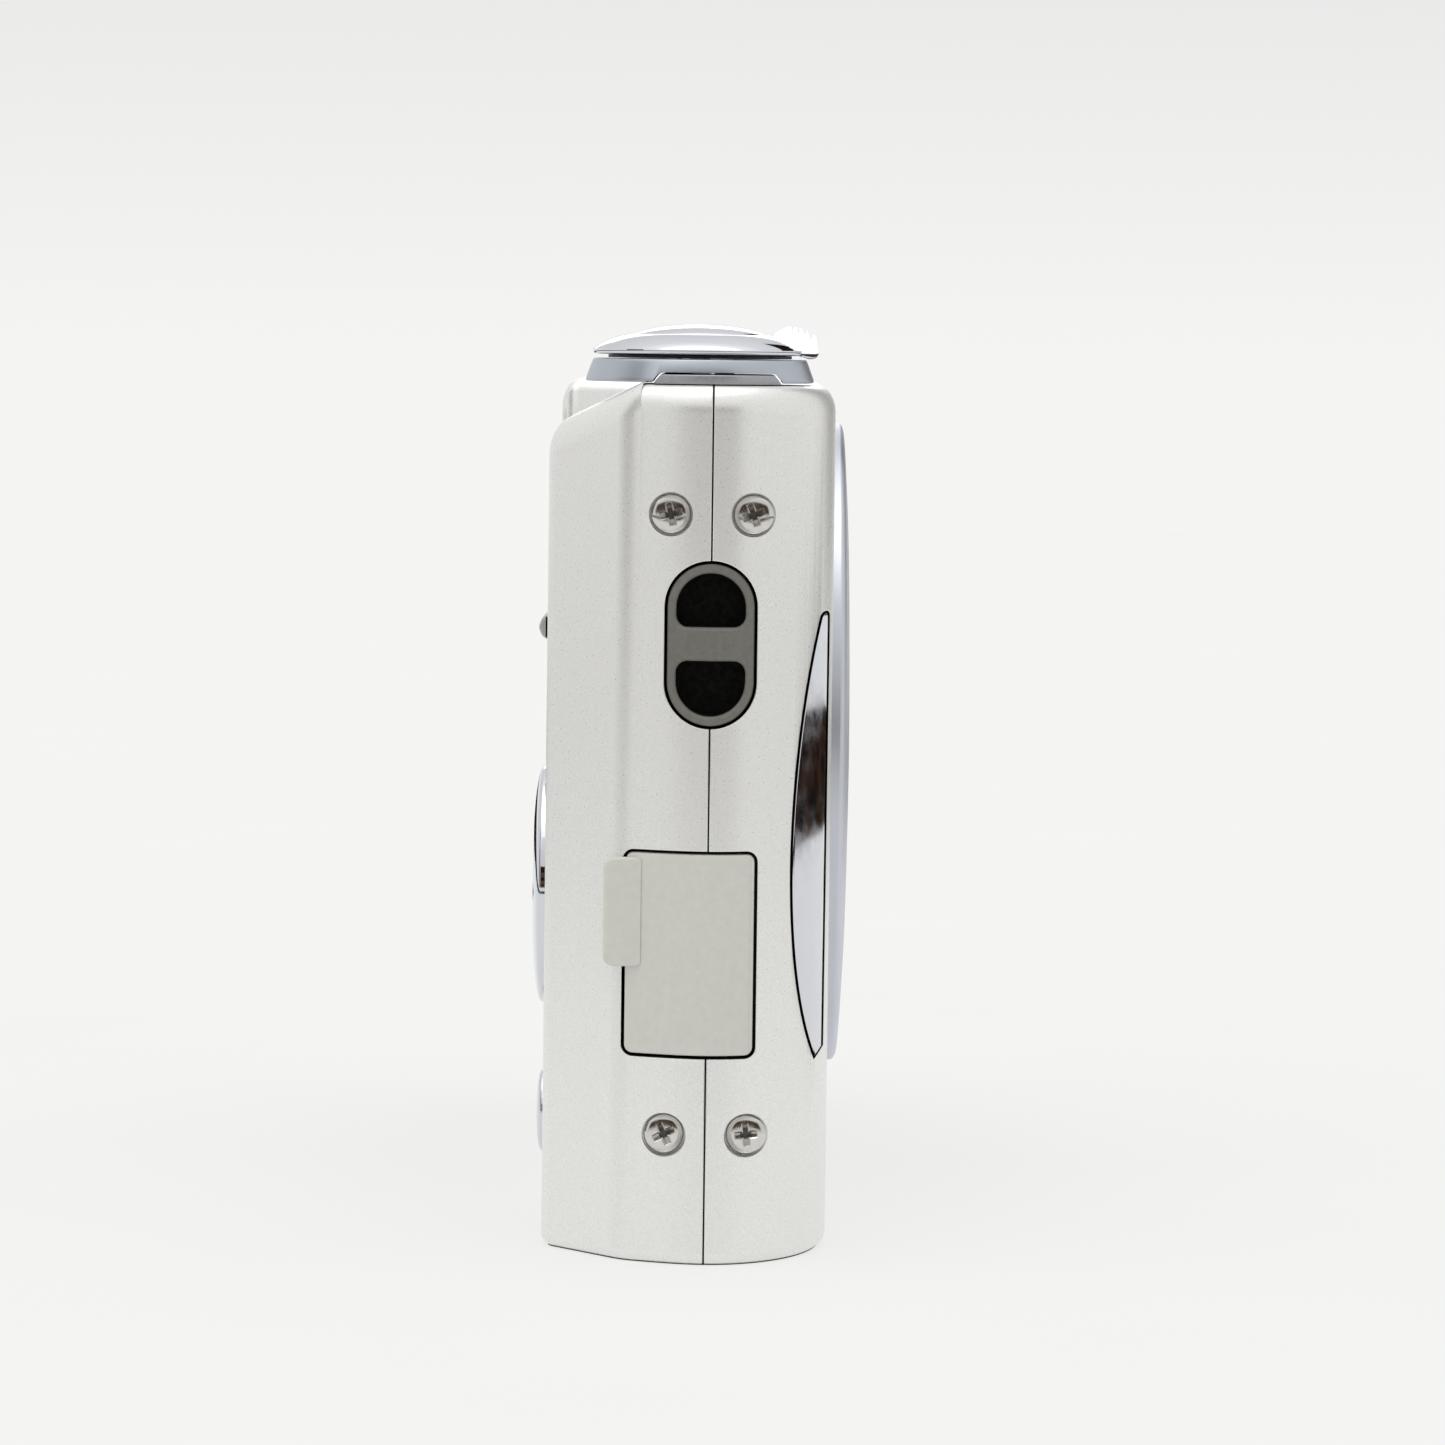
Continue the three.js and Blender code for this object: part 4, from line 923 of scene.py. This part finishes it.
def make_release_button():
    low, high = span("shutter_button")
    edge = (high.x - low.x) / 2
    dome = bezier([(edge, 63.06), (edge, 63.4), (3.5, 63.68), (2.0, high.z), (0, high.z)], 24)
    profile = [(0, low.z), (1.4, low.z), (1.4, 62.9), (edge - 0.1, 62.9), (edge, 63.0)]
    button = turned_up(without_repeats(profile + dome), RELEASE.x, RELEASE_DEPTH, 160)
    return finished(button, "release_button", "shutter_button", "bright_chrome", CHROME,
                    replaces=["shutter_button"])


def make_power_key():
    low, high = span("power_button")
    key = scratch(stacked(power_outline(), levels(low.z, high.z, high=(0.35, 0.3), steps=6)), UP)
    centre = middle("power_button")
    ring = [(0.55, high.z - 0.06), (0.85, high.z - 0.06), (0.85, high.z + 1), (0.55, high.z + 1)]
    cut(key, turned_up(ring, centre.x, PARTING_Y - centre.y, 48, LINING))
    return finished(key, "power_key", "power_button", "bright_chrome", CHROME, BLACK, BLACK,
                    replaces=["power_button"])


make_strip_bar()
make_collar_ring()
make_lever_disc()
make_release_button()
make_power_key()


# --- grip end

def grip_face(depth):
    """The casing's x at the grip end, at a depth."""
    for one, two in zip(PLAN, PLAN[1:] + PLAN[:1]):
        reach = two[1] - one[1]
        share = (-depth - one[1]) / reach if reach else -1
        if one[0] < GRIP_X + 6 and 0 <= share <= 1:
            return one[0] + share * (two[0] - one[0])
    raise ValueError(depth)


def make_lug_post():
    low, high = span("strap_lug")
    post = endward(lug_outline(), GRIP_X - 1, high.x)
    face = [(grip_face(depth) + 0.05, -depth) for depth in (3.6, 1.6, 0, -1.6, -3.6)]
    keep(post, upward(face + [(GRIP_X + BEYOND, 3.6), (GRIP_X + BEYOND, -3.6)], low.z - 1, high.z + 1))
    ease_edges(post, 0.15, lambda e: max(v.co.x for v in e.verts) < GRIP_X + 1.2, 50, 4)
    half, corner = 2.35, 0.8
    bar_low, bar_high = 41.2, 43.5
    upper = arc((half - corner, bar_high + corner), (corner, corner), -1, 0, 8)
    upper += arc((0, high.z - 0.65 - half), (half, half), 0, 2, 28)
    upper += arc((corner - half, bar_high + corner), (corner, corner), 2, 3, 8)
    lower = arc((corner - half, bar_low - corner), (corner, corner), 1, 2, 8)
    lower += arc((0, low.z + 0.65 + half), (half, half), 2, 4, 28)
    lower += arc((half - corner, bar_low - corner), (corner, corner), 0, 1, 8)
    hole_end = high.x - 0.9
    # The holes' walls and the strap passage are INSIDE faces, which take the painted hole shade
    for outline in (upper, lower):
        cut(post, endward(without_repeats(outline), GRIP_X - 2, hole_end, surface=INSIDE))
    ease_edges(post, 0.32, between_surfaces, 50, 5)
    cut(post, block(GRIP_X + 1.9, hole_end, -2, 2, bar_low - 1.5, bar_high + 1.5, INSIDE))
    return finished(post, "lug_post", "camera_body", "dark_plastic", DARK_PLASTIC, LUG_HOLE_SHADE,
                    replaces=["strap_lug"])


def make_jack_flap():
    flap = endward(jack_window(), GRIP_X - 1, GRIP_X + 5, -JACK_GAP)
    keep(flap, walls(-0.02))
    cut(flap, walls(-1.2))
    tab_face = grip_face(-4.5) - 0.04
    tab = endward(rounded_rectangle(-7.1, -4.3, 20.3, 27.75, 0.75), tab_face, tab_face + 0.6)
    cut(tab, block(tab_face - 1, tab_face + 2, -4.55, -4, 20, 28))
    root = block(GRIP_X - 1, GRIP_X + 5, JACK_REAR + 0.35, -4.6, 20.4, 27.65)
    keep(root, walls(0.02))
    cut(root, walls(-0.6))
    ease_edges(flap, 0.14, lambda e: e.is_convex and e.calc_face_angle() > 0.9, segments=3)
    ease_edges(tab, 0.2, lambda e: min(PARTING_Y - v.co.y for v in e.verts) < -4.7, 50, 4)
    join(flap, root, tab)
    return finished(flap, "jack_flap", "jack_cover", "pale_rubber", RUBBER, replaces=["jack_cover"])


def make_crescent():
    crescent = endward(accent_outline(), GRIP_X - 1, GRIP_X + 11)
    keep(crescent, walls(0.1))
    cut(crescent, walls(-0.75))
    ease_edges(crescent, 0.13, lambda e: e.is_convex and e.calc_face_angle() > 0.9, segments=4)
    return finished(crescent, "crescent", "camera_body", "bright_chrome", CHROME,
                    replaces=["grip_accent"])


make_lug_post()
make_jack_flap()
make_crescent()


# --- screws

def cross(half_length, half_width):
    a, b = half_length, half_width
    arm = [(a, -b), (a, b), (b, b)]
    return arm + [(-y, x) for x, y in arm] + [(-x, -y) for x, y in arm] + [(y, -x) for x, y in arm]


RECESS = ((0.3, 0.12, 0.14), (0.72, 0.17, 0.65), (0.9, 0.35, 0.83))


def recess():
    """Cross recess that narrows as it goes down into the head."""
    bm = bmesh.new()
    rings = []
    for half_length, half_width, height in RECESS:
        rings.append([bm.verts.new((a, b, height)) for a, b in cross(half_length, half_width)])
    for low, high in zip(rings, rings[1:]):
        for i in range(len(low)):
            bm.faces.new((low[i - 1], low[i], high[i], high[i - 1]))
    bm.faces.new(reversed(rings[0]))
    bm.faces.new(rings[-1])
    tool = scratch(bm, surface=LINING)
    # Faces deep in the recess keep LINING and take the painted recess shade; the upper walls take the
    # head's nickel
    for polygon in tool.data.polygons:
        lowest = min(tool.data.vertices[v].co.z for v in polygon.vertices)
        if len(polygon.vertices) == 4 and lowest > RECESS[0][2]:
            polygon.material_index = OUTSIDE
    return tool


def screw_solid():
    dome = bezier([(1.36, 0.42), (1.33, 0.66), (0.9, HEAD_HEIGHT), (0, HEAD_HEIGHT)], 14)
    profile = [(0, -3), (0.5, -3), (0.8, -2.6), (0.8, 0.06), (1.3, 0.06), (1.36, 0.12)] + dome
    screw = scratch(turned(without_repeats(profile), 72))
    return cut(screw, recess())


def make_screws():
    pattern = screw_solid()
    for number, name in enumerate(SIDE_SCREWS + BASE_SCREWS):
        screw = bpy.data.objects.new("scratch", pattern.data.copy())
        bpy.context.scene.collection.objects.link(screw)
        turn = (0.35, 0.22, 0.1, 0.45)[number % 4]
        place = screw_place(name, turn)
        finished(screw, name + "_head", "camera_body", "nickel", NICKEL, SCREW_RECESS_SHADE, SCREW_RECESS_SHADE)
        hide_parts(name)
        world = Matrix.Translation(place.translation * MM) @ place.to_3x3().to_4x4()
        screw.matrix_world = world
    discard(pattern)


make_screws()


# --- lens

def lens_piece(profile, name, node, slot, material, body, ease=0.0):
    """Piece turned about the lens axis from (radius, depth) points, standing for a CAD node."""
    points = eased(profile, ease, 4) if ease else profile
    solid = turned_forward(points, LENS.x, LENS.z, 200)
    return finished(solid, name, body, slot, material, replaces=[node])


def make_bezel_ring():
    low, high = span("lens_bezel")
    rim = (high.x - low.x) / 2
    base = FRONT + 0.05
    crown = bezier([(rim, base + 0.85), (rim - 0.05, FRONT + 1.3), (rim - 0.5, FRONT + 1.36),
                    (rim - 1.2, FRONT + 1.42)], 10)
    crown += bezier([(rim - 1.2, FRONT + 1.42), (21, FRONT + 1.56), (18.5, FRONT + 1.72),
                     (16.2, FRONT + 1.78)], 16)
    lip = bezier([(16.2, FRONT + 1.78), (15.5, FRONT + 1.8), (15.35, FRONT + 1.6)], 6)
    profile = without_repeats([(15.35, 6.6), (16.3, 6.6), (16.3, base), (rim, base)] + crown + lip)
    ring = turned_forward(profile, LENS.x, LENS.z, 256)
    for radius, floor in ((23.2, FRONT + 1.2), (17.4, FRONT + 1.6)):
        groove = [(radius - 0.12, FRONT + 3), (radius + 0.12, FRONT + 3), (radius, floor)]
        cut(ring, turned_forward(groove, LENS.x, LENS.z, 256, LINING))
    return finished(ring, "bezel_ring", "camera_body", "blue_chrome", PALE_CHROME, BLACK, PALE_CHROME,
                    replaces=["lens_bezel"])


def make_lens_tubes():
    outer = [(13.6, -4.4), (15, -4.4), (15, 10.05), (14.8, 10.22), (13.1, 10.3), (12.9, 10.2),
             (12.9, 9.4), (13.6, 9.4)]
    inner = [(11.6, -3.9), (13.3, -3.9), (13.3, -3.2), (12.6, -3.2), (12.6, 10.15), (12.4, 10.32),
             (11.6, 10.35)]
    for name, node, profile in (("outer_tube", "lens_tube_outer", outer),
                                ("inner_tube", "lens_tube_inner", inner)):
        lens_piece(profile, name, node, "anodised", ANODISED, node, ease=0.08)


PIVOT_REACH = 8.6


def make_face_ring():
    mouth = 5.3
    profile = eased([(6.3, 9.25), (11.4, 9.25), (11.4, 10.3), (10.9, 10.34)], 0.05, 3, closed=False)
    for step in range(5):
        radius, floor = 10.6 - 0.85 * step, 10.2 - 0.05 * step
        profile += [(radius, 10.36 - 0.02 * step), (radius - 0.1, floor), (radius - 0.3, floor)]
    profile += bezier([(7, 10.2), (6.1, 10.1), (mouth + 0.1, 9.75), (mouth, 9.6)], 8) + [(mouth, 9.45)]
    face = turned_forward(without_repeats(profile), LENS.x, LENS.z, 200)
    for x in (LENS.x - PIVOT_REACH, LENS.x + PIVOT_REACH):
        join(face, turned_forward(eased(rod(0.5, 8.4, 9.4), 0.1, 3), x, LENS.z, 32))
    return finished(face, "face_ring", "lens_tube_inner", "black_plastic", BLACK_RING,
                    replaces=["lens_face"])


def make_blade(name, body, side):
    half = arc((0, 0.05), (5.7, 5.7), 0, 2, 48)
    blade = scratch(prism(without_repeats(half), 8.65, 9.15, ease=0.06))
    arm = rounded_rectangle(-9.4, -3.5, 0.05, 1.35, 0.3)
    join(blade, scratch(prism(arm, 8.68, 9.12, ease=0.05)))
    eye = arc((-PIVOT_REACH, 0), (1.3, 1.3), 0, 4, 40)
    join(blade, scratch(prism(without_repeats(eye), 8.66, 9.14, ease=0.05)))
    cut(blade, scratch(turned(rod(0.65, 8, 10), 32), Matrix.Translation((-PIVOT_REACH, 0, 0))))
    turn = Matrix.Rotation(0 if side > 0 else math.pi, 4, "Z")
    blade.data.transform(at(FORWARD, LENS.x, LENS.z) @ turn)
    return finished(blade, name, body, "black_plastic", BLACK_RING, replaces=[body])


def make_glass():
    front = bezier([(0, 8.1), (3.2, 8.1), (5.2, 7.2), (6, 6.4)], 16)[::-1]
    profile = [(0, 3.8), (6, 4.4)] + front
    lens_piece(without_repeats(profile), "front_glass", "front_lens", "lens_glass", GLASS,
               "lens_tube_inner")
    cell = [(4.5, -2), (11.3, -2), (11.3, 8.2), (6.3, 8.2), (6.3, 7.5), (6.15, 7.3), (6.3, 7.1),
            (6.3, 3), (4.5, 1)]
    lens_piece(cell, "cell_barrel", "lens_cell", "black_plastic", BLACK_RING, "lens_tube_inner",
               ease=0.1)


make_bezel_ring()
make_lens_tubes()
make_face_ring()
make_blade("blade_upper", "barrier_blade_upper", 1)
make_blade("blade_lower", "barrier_blade_lower", -1)
make_glass()


# --- front windows

def make_flash():
    low, high = span("flash_window")
    heights = levels(7.25, FRONT + 0.1, high=(0.2, 0.15), steps=5)
    window = scratch(stacked(face_rectangle("flash_window"), heights), FORWARD)
    for step in range(int((high.z - low.z - 1.2) / 0.5) + 1):
        z = low.z + 0.6 + 0.5 * step
        rib = [(7.0, z - 0.2), (7.42, z), (7.0, z + 0.2)]
        cut(window, endward(rib, low.x + 0.6, high.x - 0.6))
    return finished(window, "flash_pane", "camera_body", "clear_plastic", CLEAR,
                    replaces=["flash_window"])


def make_focus_lens():
    low, high = span("focus_lamp")
    radius = (high.x - low.x) / 2
    dome = bezier([(radius, FRONT - 0.12), (1.4, FRONT), (0.8, FRONT + 0.04), (0, FRONT + 0.04)], 12)
    profile = without_repeats([(0, 6.9), (radius, 6.9)] + dome)
    lens = turned_forward(profile, (low.x + high.x) / 2, (low.z + high.z) / 2)
    return finished(lens, "focus_lens", "camera_body", "clear_plastic", AMBER, replaces=["focus_lamp"])


make_flash()
make_focus_lens()


# --- rear: screen and controls

def make_screen():
    low, high = span("screen_window")
    outline = face_rectangle("screen_window", radius=1.5)
    pane = scratch(
        stacked(outline, levels(REAR + 0.05, -10.1, low=(0.25, 0.2), steps=6)), FORWARD)
    picture = rounded_rectangle(low.x + 2.2, high.x - 2.2, low.z + 2.4, high.z - 2.4, 0.4)
    cut(pane, forward(picture, REAR - 1, REAR + 0.07, surface=INSIDE))
    return finished(pane, "screen_pane", "camera_body", "screen_plastic", SCREEN_PLASTIC, DISPLAY,
                    replaces=["screen_window"])


def pad_piece(profile, name, node, body, *materials, marks=False):
    solid = turned_forward(without_repeats(profile), PAD.x, PAD.z, 192)
    if marks:
        for quarter in range(4):
            arrow = [(0.75, 6.05), (0, 6.85), (-0.75, 6.05)]
            turn = at(FORWARD, PAD.x, PAD.z) @ Matrix.Rotation(math.pi / 2 * quarter, 4, "Z")
            cut(solid, scratch(prism(arrow, REAR - 3, -12.08), turn, LINING))
    return finished(solid, name, body, "bright_chrome", CHROME, *materials, replaces=[node])


def make_pad():
    back = -12.3
    crown = bezier([(8.4, -11.62), (8.36, -11.86), (7.9, -11.98), (7.3, -12.08)], 8)
    crown += bezier([(7.3, -12.08), (6.4, -12.24), (5.4, back - 0.02), (4.6, back + 0.03)], 12)
    crown += bezier([(4.6, back + 0.03), (4.0, -12.18), (3.55, -11.98), (3.5, -11.8)], 8)
    profile = [(3.5, -9.1), (9.1, -9.1), (9.1, -9.42), (8.4, -9.42)] + crown
    pad_piece(profile, "pad_wheel", "pad_ring", "pad_ring", BLACK, BLACK, marks=True)
    dome = bezier([(3.3, -11.75), (3.25, -11.95), (2.4, -12.22), (0, -12.22)], 14)[::-1]
    stem = [(3.3, -9.5), (1.6, -9.5), (1.6, -8.75), (0, -8.75)]
    pad_piece(dome + stem, "ok_key", "ok_button", "ok_button")


def make_round_key(node, radius, name):
    centre = middle(node)
    crown = depth_span(node)[0]
    edge = min(crown + 0.45, REAR + 0.12)
    dome = bezier([(radius, edge), (radius - 0.04, crown + 0.12), (0.6 * radius, crown), (0, crown)], 14)
    flange = radius + 0.55
    profile = dome[::-1] + [(radius, -9.65), (flange, -9.65), (flange, -9.25), (1.2, -9.25),
                            (1.2, -8.75), (0, -8.75)]
    key = turned_forward(without_repeats(profile), centre.x, centre.z, 128)
    return finished(key, name, node, "bright_chrome", CHROME, replaces=[node])


def make_slider():
    centre = middle("mode_slider")
    back = depth_span("mode_slider")[0]
    section = eased([
        (REAR - 0.12, centre.z + 0.93), (back + 0.22, centre.z + 0.62), (back, centre.z),
        (back + 0.22, centre.z - 0.62), (REAR - 0.12, centre.z - 0.93),
    ], 0.2, 4)
    knob = endward(section, centre.x - 3, centre.x + 3, ease=0.18)
    for step in range(-3, 4):
        x = centre.x + 0.6 * step
        groove = [(x - 0.14, 0.5 - back), (x, -back - 0.24), (x + 0.14, 0.5 - back)]
        cut(knob, upward(groove, centre.z - 2, centre.z + 2))
    join(knob, block(centre.x - 2, centre.x + 2, REAR - 0.3, -9.7, centre.z - 0.55, centre.z + 0.55))
    join(knob, block(centre.x - 5, centre.x + 5, -9.85, -9.35, centre.z - 2, centre.z + 2))
    return finished(knob, "slider_knob", "mode_slider", "grey_plastic", GREY_PLASTIC,
                    replaces=["mode_slider"])


def make_status_lens():
    centre = middle("status_lamp")
    dome = bezier([(0, -11.46), (0.6, -11.46), (0.9, -11.4), (0.9, -11.2)], 8)
    lens = turned_forward(dome + [(0.9, -10.1), (0, -10.1)], centre.x, centre.z, 64)
    return finished(lens, "status_lens", "camera_body", "clear_plastic", GREEN, replaces=["status_lamp"])


make_screen()
make_pad()
for node, radius in REAR_BUTTONS.items():
    make_round_key(node, radius, node.replace("button", "key"))
make_slider()
make_status_lens()


# --- base: door, latch, bush

def make_door_panel():
    low, high = span("battery_door")
    panel = scratch(
        stacked(plan_rectangle("battery_door"), levels(low.z, high.z, low=(0.2, 0.2), steps=4)), UP)
    cut(panel, block(-36.6, -31.2, -2.6, 2.6, 0, 0.95, LINING))
    for step in range(3):
        x = -29.4 + 1.0 * step
        chevron = [(x, -1.6), (x + 0.8, 0), (x, 1.6), (x + 0.35, 1.6), (x + 1.15, 0), (x + 0.35, -1.6)]
        cut(panel, upward([(a, -b) for a, b in chevron], -1, low.z + 0.15, surface=LINING))
    ease_edges(panel, 0.05, between_surfaces, 45)
    return finished(panel, "door_panel", "battery_door", "silver_paint", PAINT, PAINT, COVER_INSIDE,
                    replaces=["battery_door"])


def make_latch_knob():
    low, high = span("door_latch")
    rear, front = depth_span("door_latch")
    outline = rounded_rectangle(low.x, high.x, -front, -rear, 0.4)
    knob = scratch(stacked(outline, levels(low.z, high.z, low=(0.12, 0.1), steps=3)), UP)
    for step in range(4):
        x = low.x + 0.7 + 0.66 * step
        groove = [(x - 0.16, low.z - 0.3), (x, low.z + 0.2), (x + 0.16, low.z - 0.3)]
        cut(knob, forward(groove, rear + 0.5, front - 0.5))
    return finished(knob, "latch_knob", "door_latch", "grey_plastic", GREY_PLASTIC,
                    replaces=["door_latch"])


def make_bush_socket():
    low, high = span("tripod_bush")
    centre = middle("tripod_bush")
    radius = (high.x - low.x) / 2
    bore = 3.1
    pitch = 0.6
    profile = [(0, high.z - 0.8), (bore, high.z - 0.8)]
    z = high.z - 1.0
    while z > 0.8:
        profile += [(bore, z), (bore + 0.22, z - pitch / 2)]
        z -= pitch
    profile += [(bore, 0.45), (bore + 0.35, 0.0), (radius - 0.15, 0.0), (radius, 0.15),
                (radius, high.z), (0, high.z)]
    bush = turned_up(profile, centre.x, PARTING_Y - centre.y, 96)
    return finished(bush, "bush_socket", "camera_body", "steel", STEEL, replaces=["tripod_bush"],
                    smooth=30)


make_door_panel()
make_latch_knob()
make_bush_socket()


# --- the frame's own nodes that stay

KEPT_FINISHES = {
    BLACK: ["jack_plate", "power_socket", "lens_housing", "screen_panel", "pad_carrier",
            "battery_cage", "memory_card", "speaker"],
    CHROME: ["flash_reflector"],
    STEEL: ["usb_socket", "zoom_motor", "chassis"],
    GLASS: ["rear_lens", "image_sensor"],
    BOARD: ["sensor_board", "button_board", "main_board"],
    WRAP: ["battery", "flash_capacitor"],
}
for material, names in KEPT_FINISHES.items():
    for name in names:
        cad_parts[name].material_slots[0].material = material


# --- stage, light and camera

FLOOR_RADIUS = 30.0
FLOOR_COLOUR = (120, 120, 119)
FLOOR_PATCH = (116, 116, 115)
FLOOR_GLOW = 0.685
TABLE_EDGE = (0.31, 0.56)
CONTACT_INSET = 0.5
# Each row is the sine of a height above the horizon, and the brightness there
SKY = [
    (0, 0.9), (0.055, 0.825), (0.1, 0.8), (0.5, 0.78), (0.8, 0.95), (0.9, 1.2), (0.95, 2.3), (0.999, 2.5),
]
WINDOW_GLOW = 1.7
# The camera's place in millimetres, its lens in millimetres and its angles in degrees
CAMERA_PLACE = (GRIP_X - 400, PARTING_Y - 0.815, 63.587)
CAMERA_LENS = 147.745
CAMERA_DOWN = 3.79
CAMERA_TURN = -0.006875
CAMERA_ROLL = 0.720


def stage_object(name, mesh, material):
    obj = bpy.data.objects.new(name, mesh)
    bpy.context.scene.collection.objects.link(obj)
    mesh.materials.append(material)
    return obj


def make_floor():
    bm = bmesh.new()
    bmesh.ops.create_circle(bm, cap_ends=True, segments=128, radius=FLOOR_RADIUS)
    mesh = bpy.data.meshes.new("floor")
    bm.to_mesh(mesh)
    bm.free()
    pale = Finish("floor", FLOOR_COLOUR, 0.9, 0.0, Specular_IOR_Level=0.0,
                  Emission_Color=(1.0, 1.0, 0.99, 1), Emission_Strength=FLOOR_GLOW)
    pale.varied(FLOOR_PATCH, 40, 0.5)
    stage_object("floor", mesh, pale.material)


def seen_in_gloss_only(obj):
    """Cards round the stage, which give the chrome something to reflect and light nothing."""
    obj.visible_camera = False
    obj.visible_diffuse = False
    obj.visible_shadow = False
    obj.visible_transmission = False


def card_finish(name, colour, other):
    cloth = Finish(name, colour, 1.0, 0.0, Specular_IOR_Level=0.0)
    return cloth.varied(other, 45, 1.0, 3.0, (0.42, 0.58)).material


def make_card(name, azimuth, reach, low, high, distance, material):
    """Upright card round the stage; its azimuth runs from the photographer towards the screen side."""
    columns = []
    for i in range(9):
        angle = math.radians(azimuth + reach * (i / 4 - 1))
        columns.append((-distance * math.cos(angle), distance * math.sin(angle)))
    corners = [(x, y, z) for z in (low, high) for x, y in columns]
    faces = [(i, i + 1, i + 10, i + 9) for i in range(8)]
    mesh = bpy.data.meshes.new(name)
    mesh.from_pydata(corners, [], faces)
    seen_in_gloss_only(stage_object(name, mesh, material))


def window_finish():
    """Bright pane, as a window or softbox shows in the chrome."""
    pane = Finish("window", (240, 242, 245), 1.0, 0.0, Emission_Color=(0.97, 0.98, 1.0, 1),
                  Emission_Strength=WINDOW_GLOW)
    return pane.varied((236, 238, 244), 60).material


def make_painted_contact_shadow():
    """Painted contact shadow: a dark patch under the base, where the glow of the table doesn't reach."""
    outline = grown(PLAN, -CONTACT_INSET)
    mesh = bpy.data.meshes.new("painted_contact_shadow")
    corners = [(x * MM, PARTING_Y * MM + y * MM, 0.02 * MM) for x, y in outline]
    mesh.from_pydata(corners, [], [tuple(range(len(corners)))])
    # Unlit grey for the painted contact shadow under the base
    shade = Finish("contact", (128, 126, 122), 0.9, 0.0, Specular_IOR_Level=0.0)
    shade.varied((120, 118, 114), 10)
    stage_object("painted_contact_shadow", mesh, shade.material)


def make_table_edge(material):
    """Dark ring on the floor, as the room shows past the edge of the photographer's table."""
    steps = 96
    corners = []
    for radius in TABLE_EDGE:
        for i in range(steps):
            angle = 2 * math.pi * i / steps
            corners.append((radius * math.cos(angle), radius * math.sin(angle), 1 * MM))
    faces = [(i, (i + 1) % steps, steps + (i + 1) % steps, steps + i) for i in range(steps)]
    mesh = bpy.data.meshes.new("table_edge")
    mesh.from_pydata(corners, [], faces)
    seen_in_gloss_only(stage_object("table_edge", mesh, material))


def make_world():
    """White tent, brightest overhead."""
    world = bpy.data.worlds.new("studio")
    world.use_nodes = True
    nodes, links = world.node_tree.nodes, world.node_tree.links
    split = nodes.new("ShaderNodeSeparateXYZ")
    links.new(nodes.new("ShaderNodeTexCoord").outputs["Generated"], split.inputs["Vector"])
    lowest, brightest = SKY[0][0], SKY[-1][1]
    share = nodes.new("ShaderNodeMapRange")
    share.inputs["From Min"].default_value = lowest
    links.new(split.outputs["Z"], share.inputs["Value"])
    ramp = nodes.new("ShaderNodeValToRGB")
    for number, (height, brightness) in enumerate(SKY):
        place = (height - lowest) / (1 - lowest)
        stop = ramp.color_ramp.elements[0] if number == 0 else ramp.color_ramp.elements.new(place)
        value = brightness / brightest
        stop.color = (value, value, 0.993 * value, 1)
    ramp.color_ramp.elements.remove(ramp.color_ramp.elements[-1])
    links.new(share.outputs["Result"], ramp.inputs["Fac"])
    links.new(ramp.outputs["Color"], nodes["Background"].inputs["Color"])
    nodes["Background"].inputs["Strength"].default_value = brightest
    bpy.context.scene.world = world


def make_sun(name, towards, strength, angle):
    light = bpy.data.lights.new(name, "SUN")
    light.energy = strength
    light.angle = math.radians(angle)
    lamp = bpy.data.objects.new(name, light)
    bpy.context.scene.collection.objects.link(lamp)
    lamp.rotation_euler = Vector(towards).to_track_quat("Z", "Y").to_euler()


def make_camera():
    """Long lens, level with the top of the camera and looking at its grip end."""
    data = bpy.data.cameras.new("photo_camera")
    data.sensor_width = 36
    data.lens = CAMERA_LENS
    camera = bpy.data.objects.new("photo_camera", data)
    bpy.context.scene.collection.objects.link(camera)
    down, turn, roll = (math.radians(angle) for angle in (CAMERA_DOWN, CAMERA_TURN, CAMERA_ROLL))
    level = math.cos(down)
    forward_axis = Vector((level * math.cos(turn), level * math.sin(turn), -math.sin(down)))
    camera.location = Vector(CAMERA_PLACE) * MM
    camera.rotation_mode = "QUATERNION"
    camera.rotation_quaternion = forward_axis.to_track_quat("-Z", "Y") @ Quaternion((0, 0, 1), roll)
    data.clip_start, data.clip_end = 0.01, 100
    bpy.context.scene.camera = camera


ROOM = card_finish("room", (16, 14, 13), (52, 34, 24))
PEOPLE = card_finish("people", (28, 25, 23), (104, 84, 72))

make_floor()
make_world()
make_sun("tent_light", (-0.3, 0.45, 1.0), 0.3, 60)
make_table_edge(ROOM)
make_card("photographer", 0, 34, 0.04, 0.36, 0.9, PEOPLE)
make_card("rear_flag", 72, 11, 0.0, 0.9, 1.0, ROOM)
make_card("front_flag", -152, 11, 0.0, 0.9, 1.0, ROOM)
make_card("window", 180, 13, 0.27, 0.53, 1.1, window_finish())
make_painted_contact_shadow()
make_camera()
bpy.context.scene.view_settings.view_transform = "Standard"

bpy.context.view_layer.update()
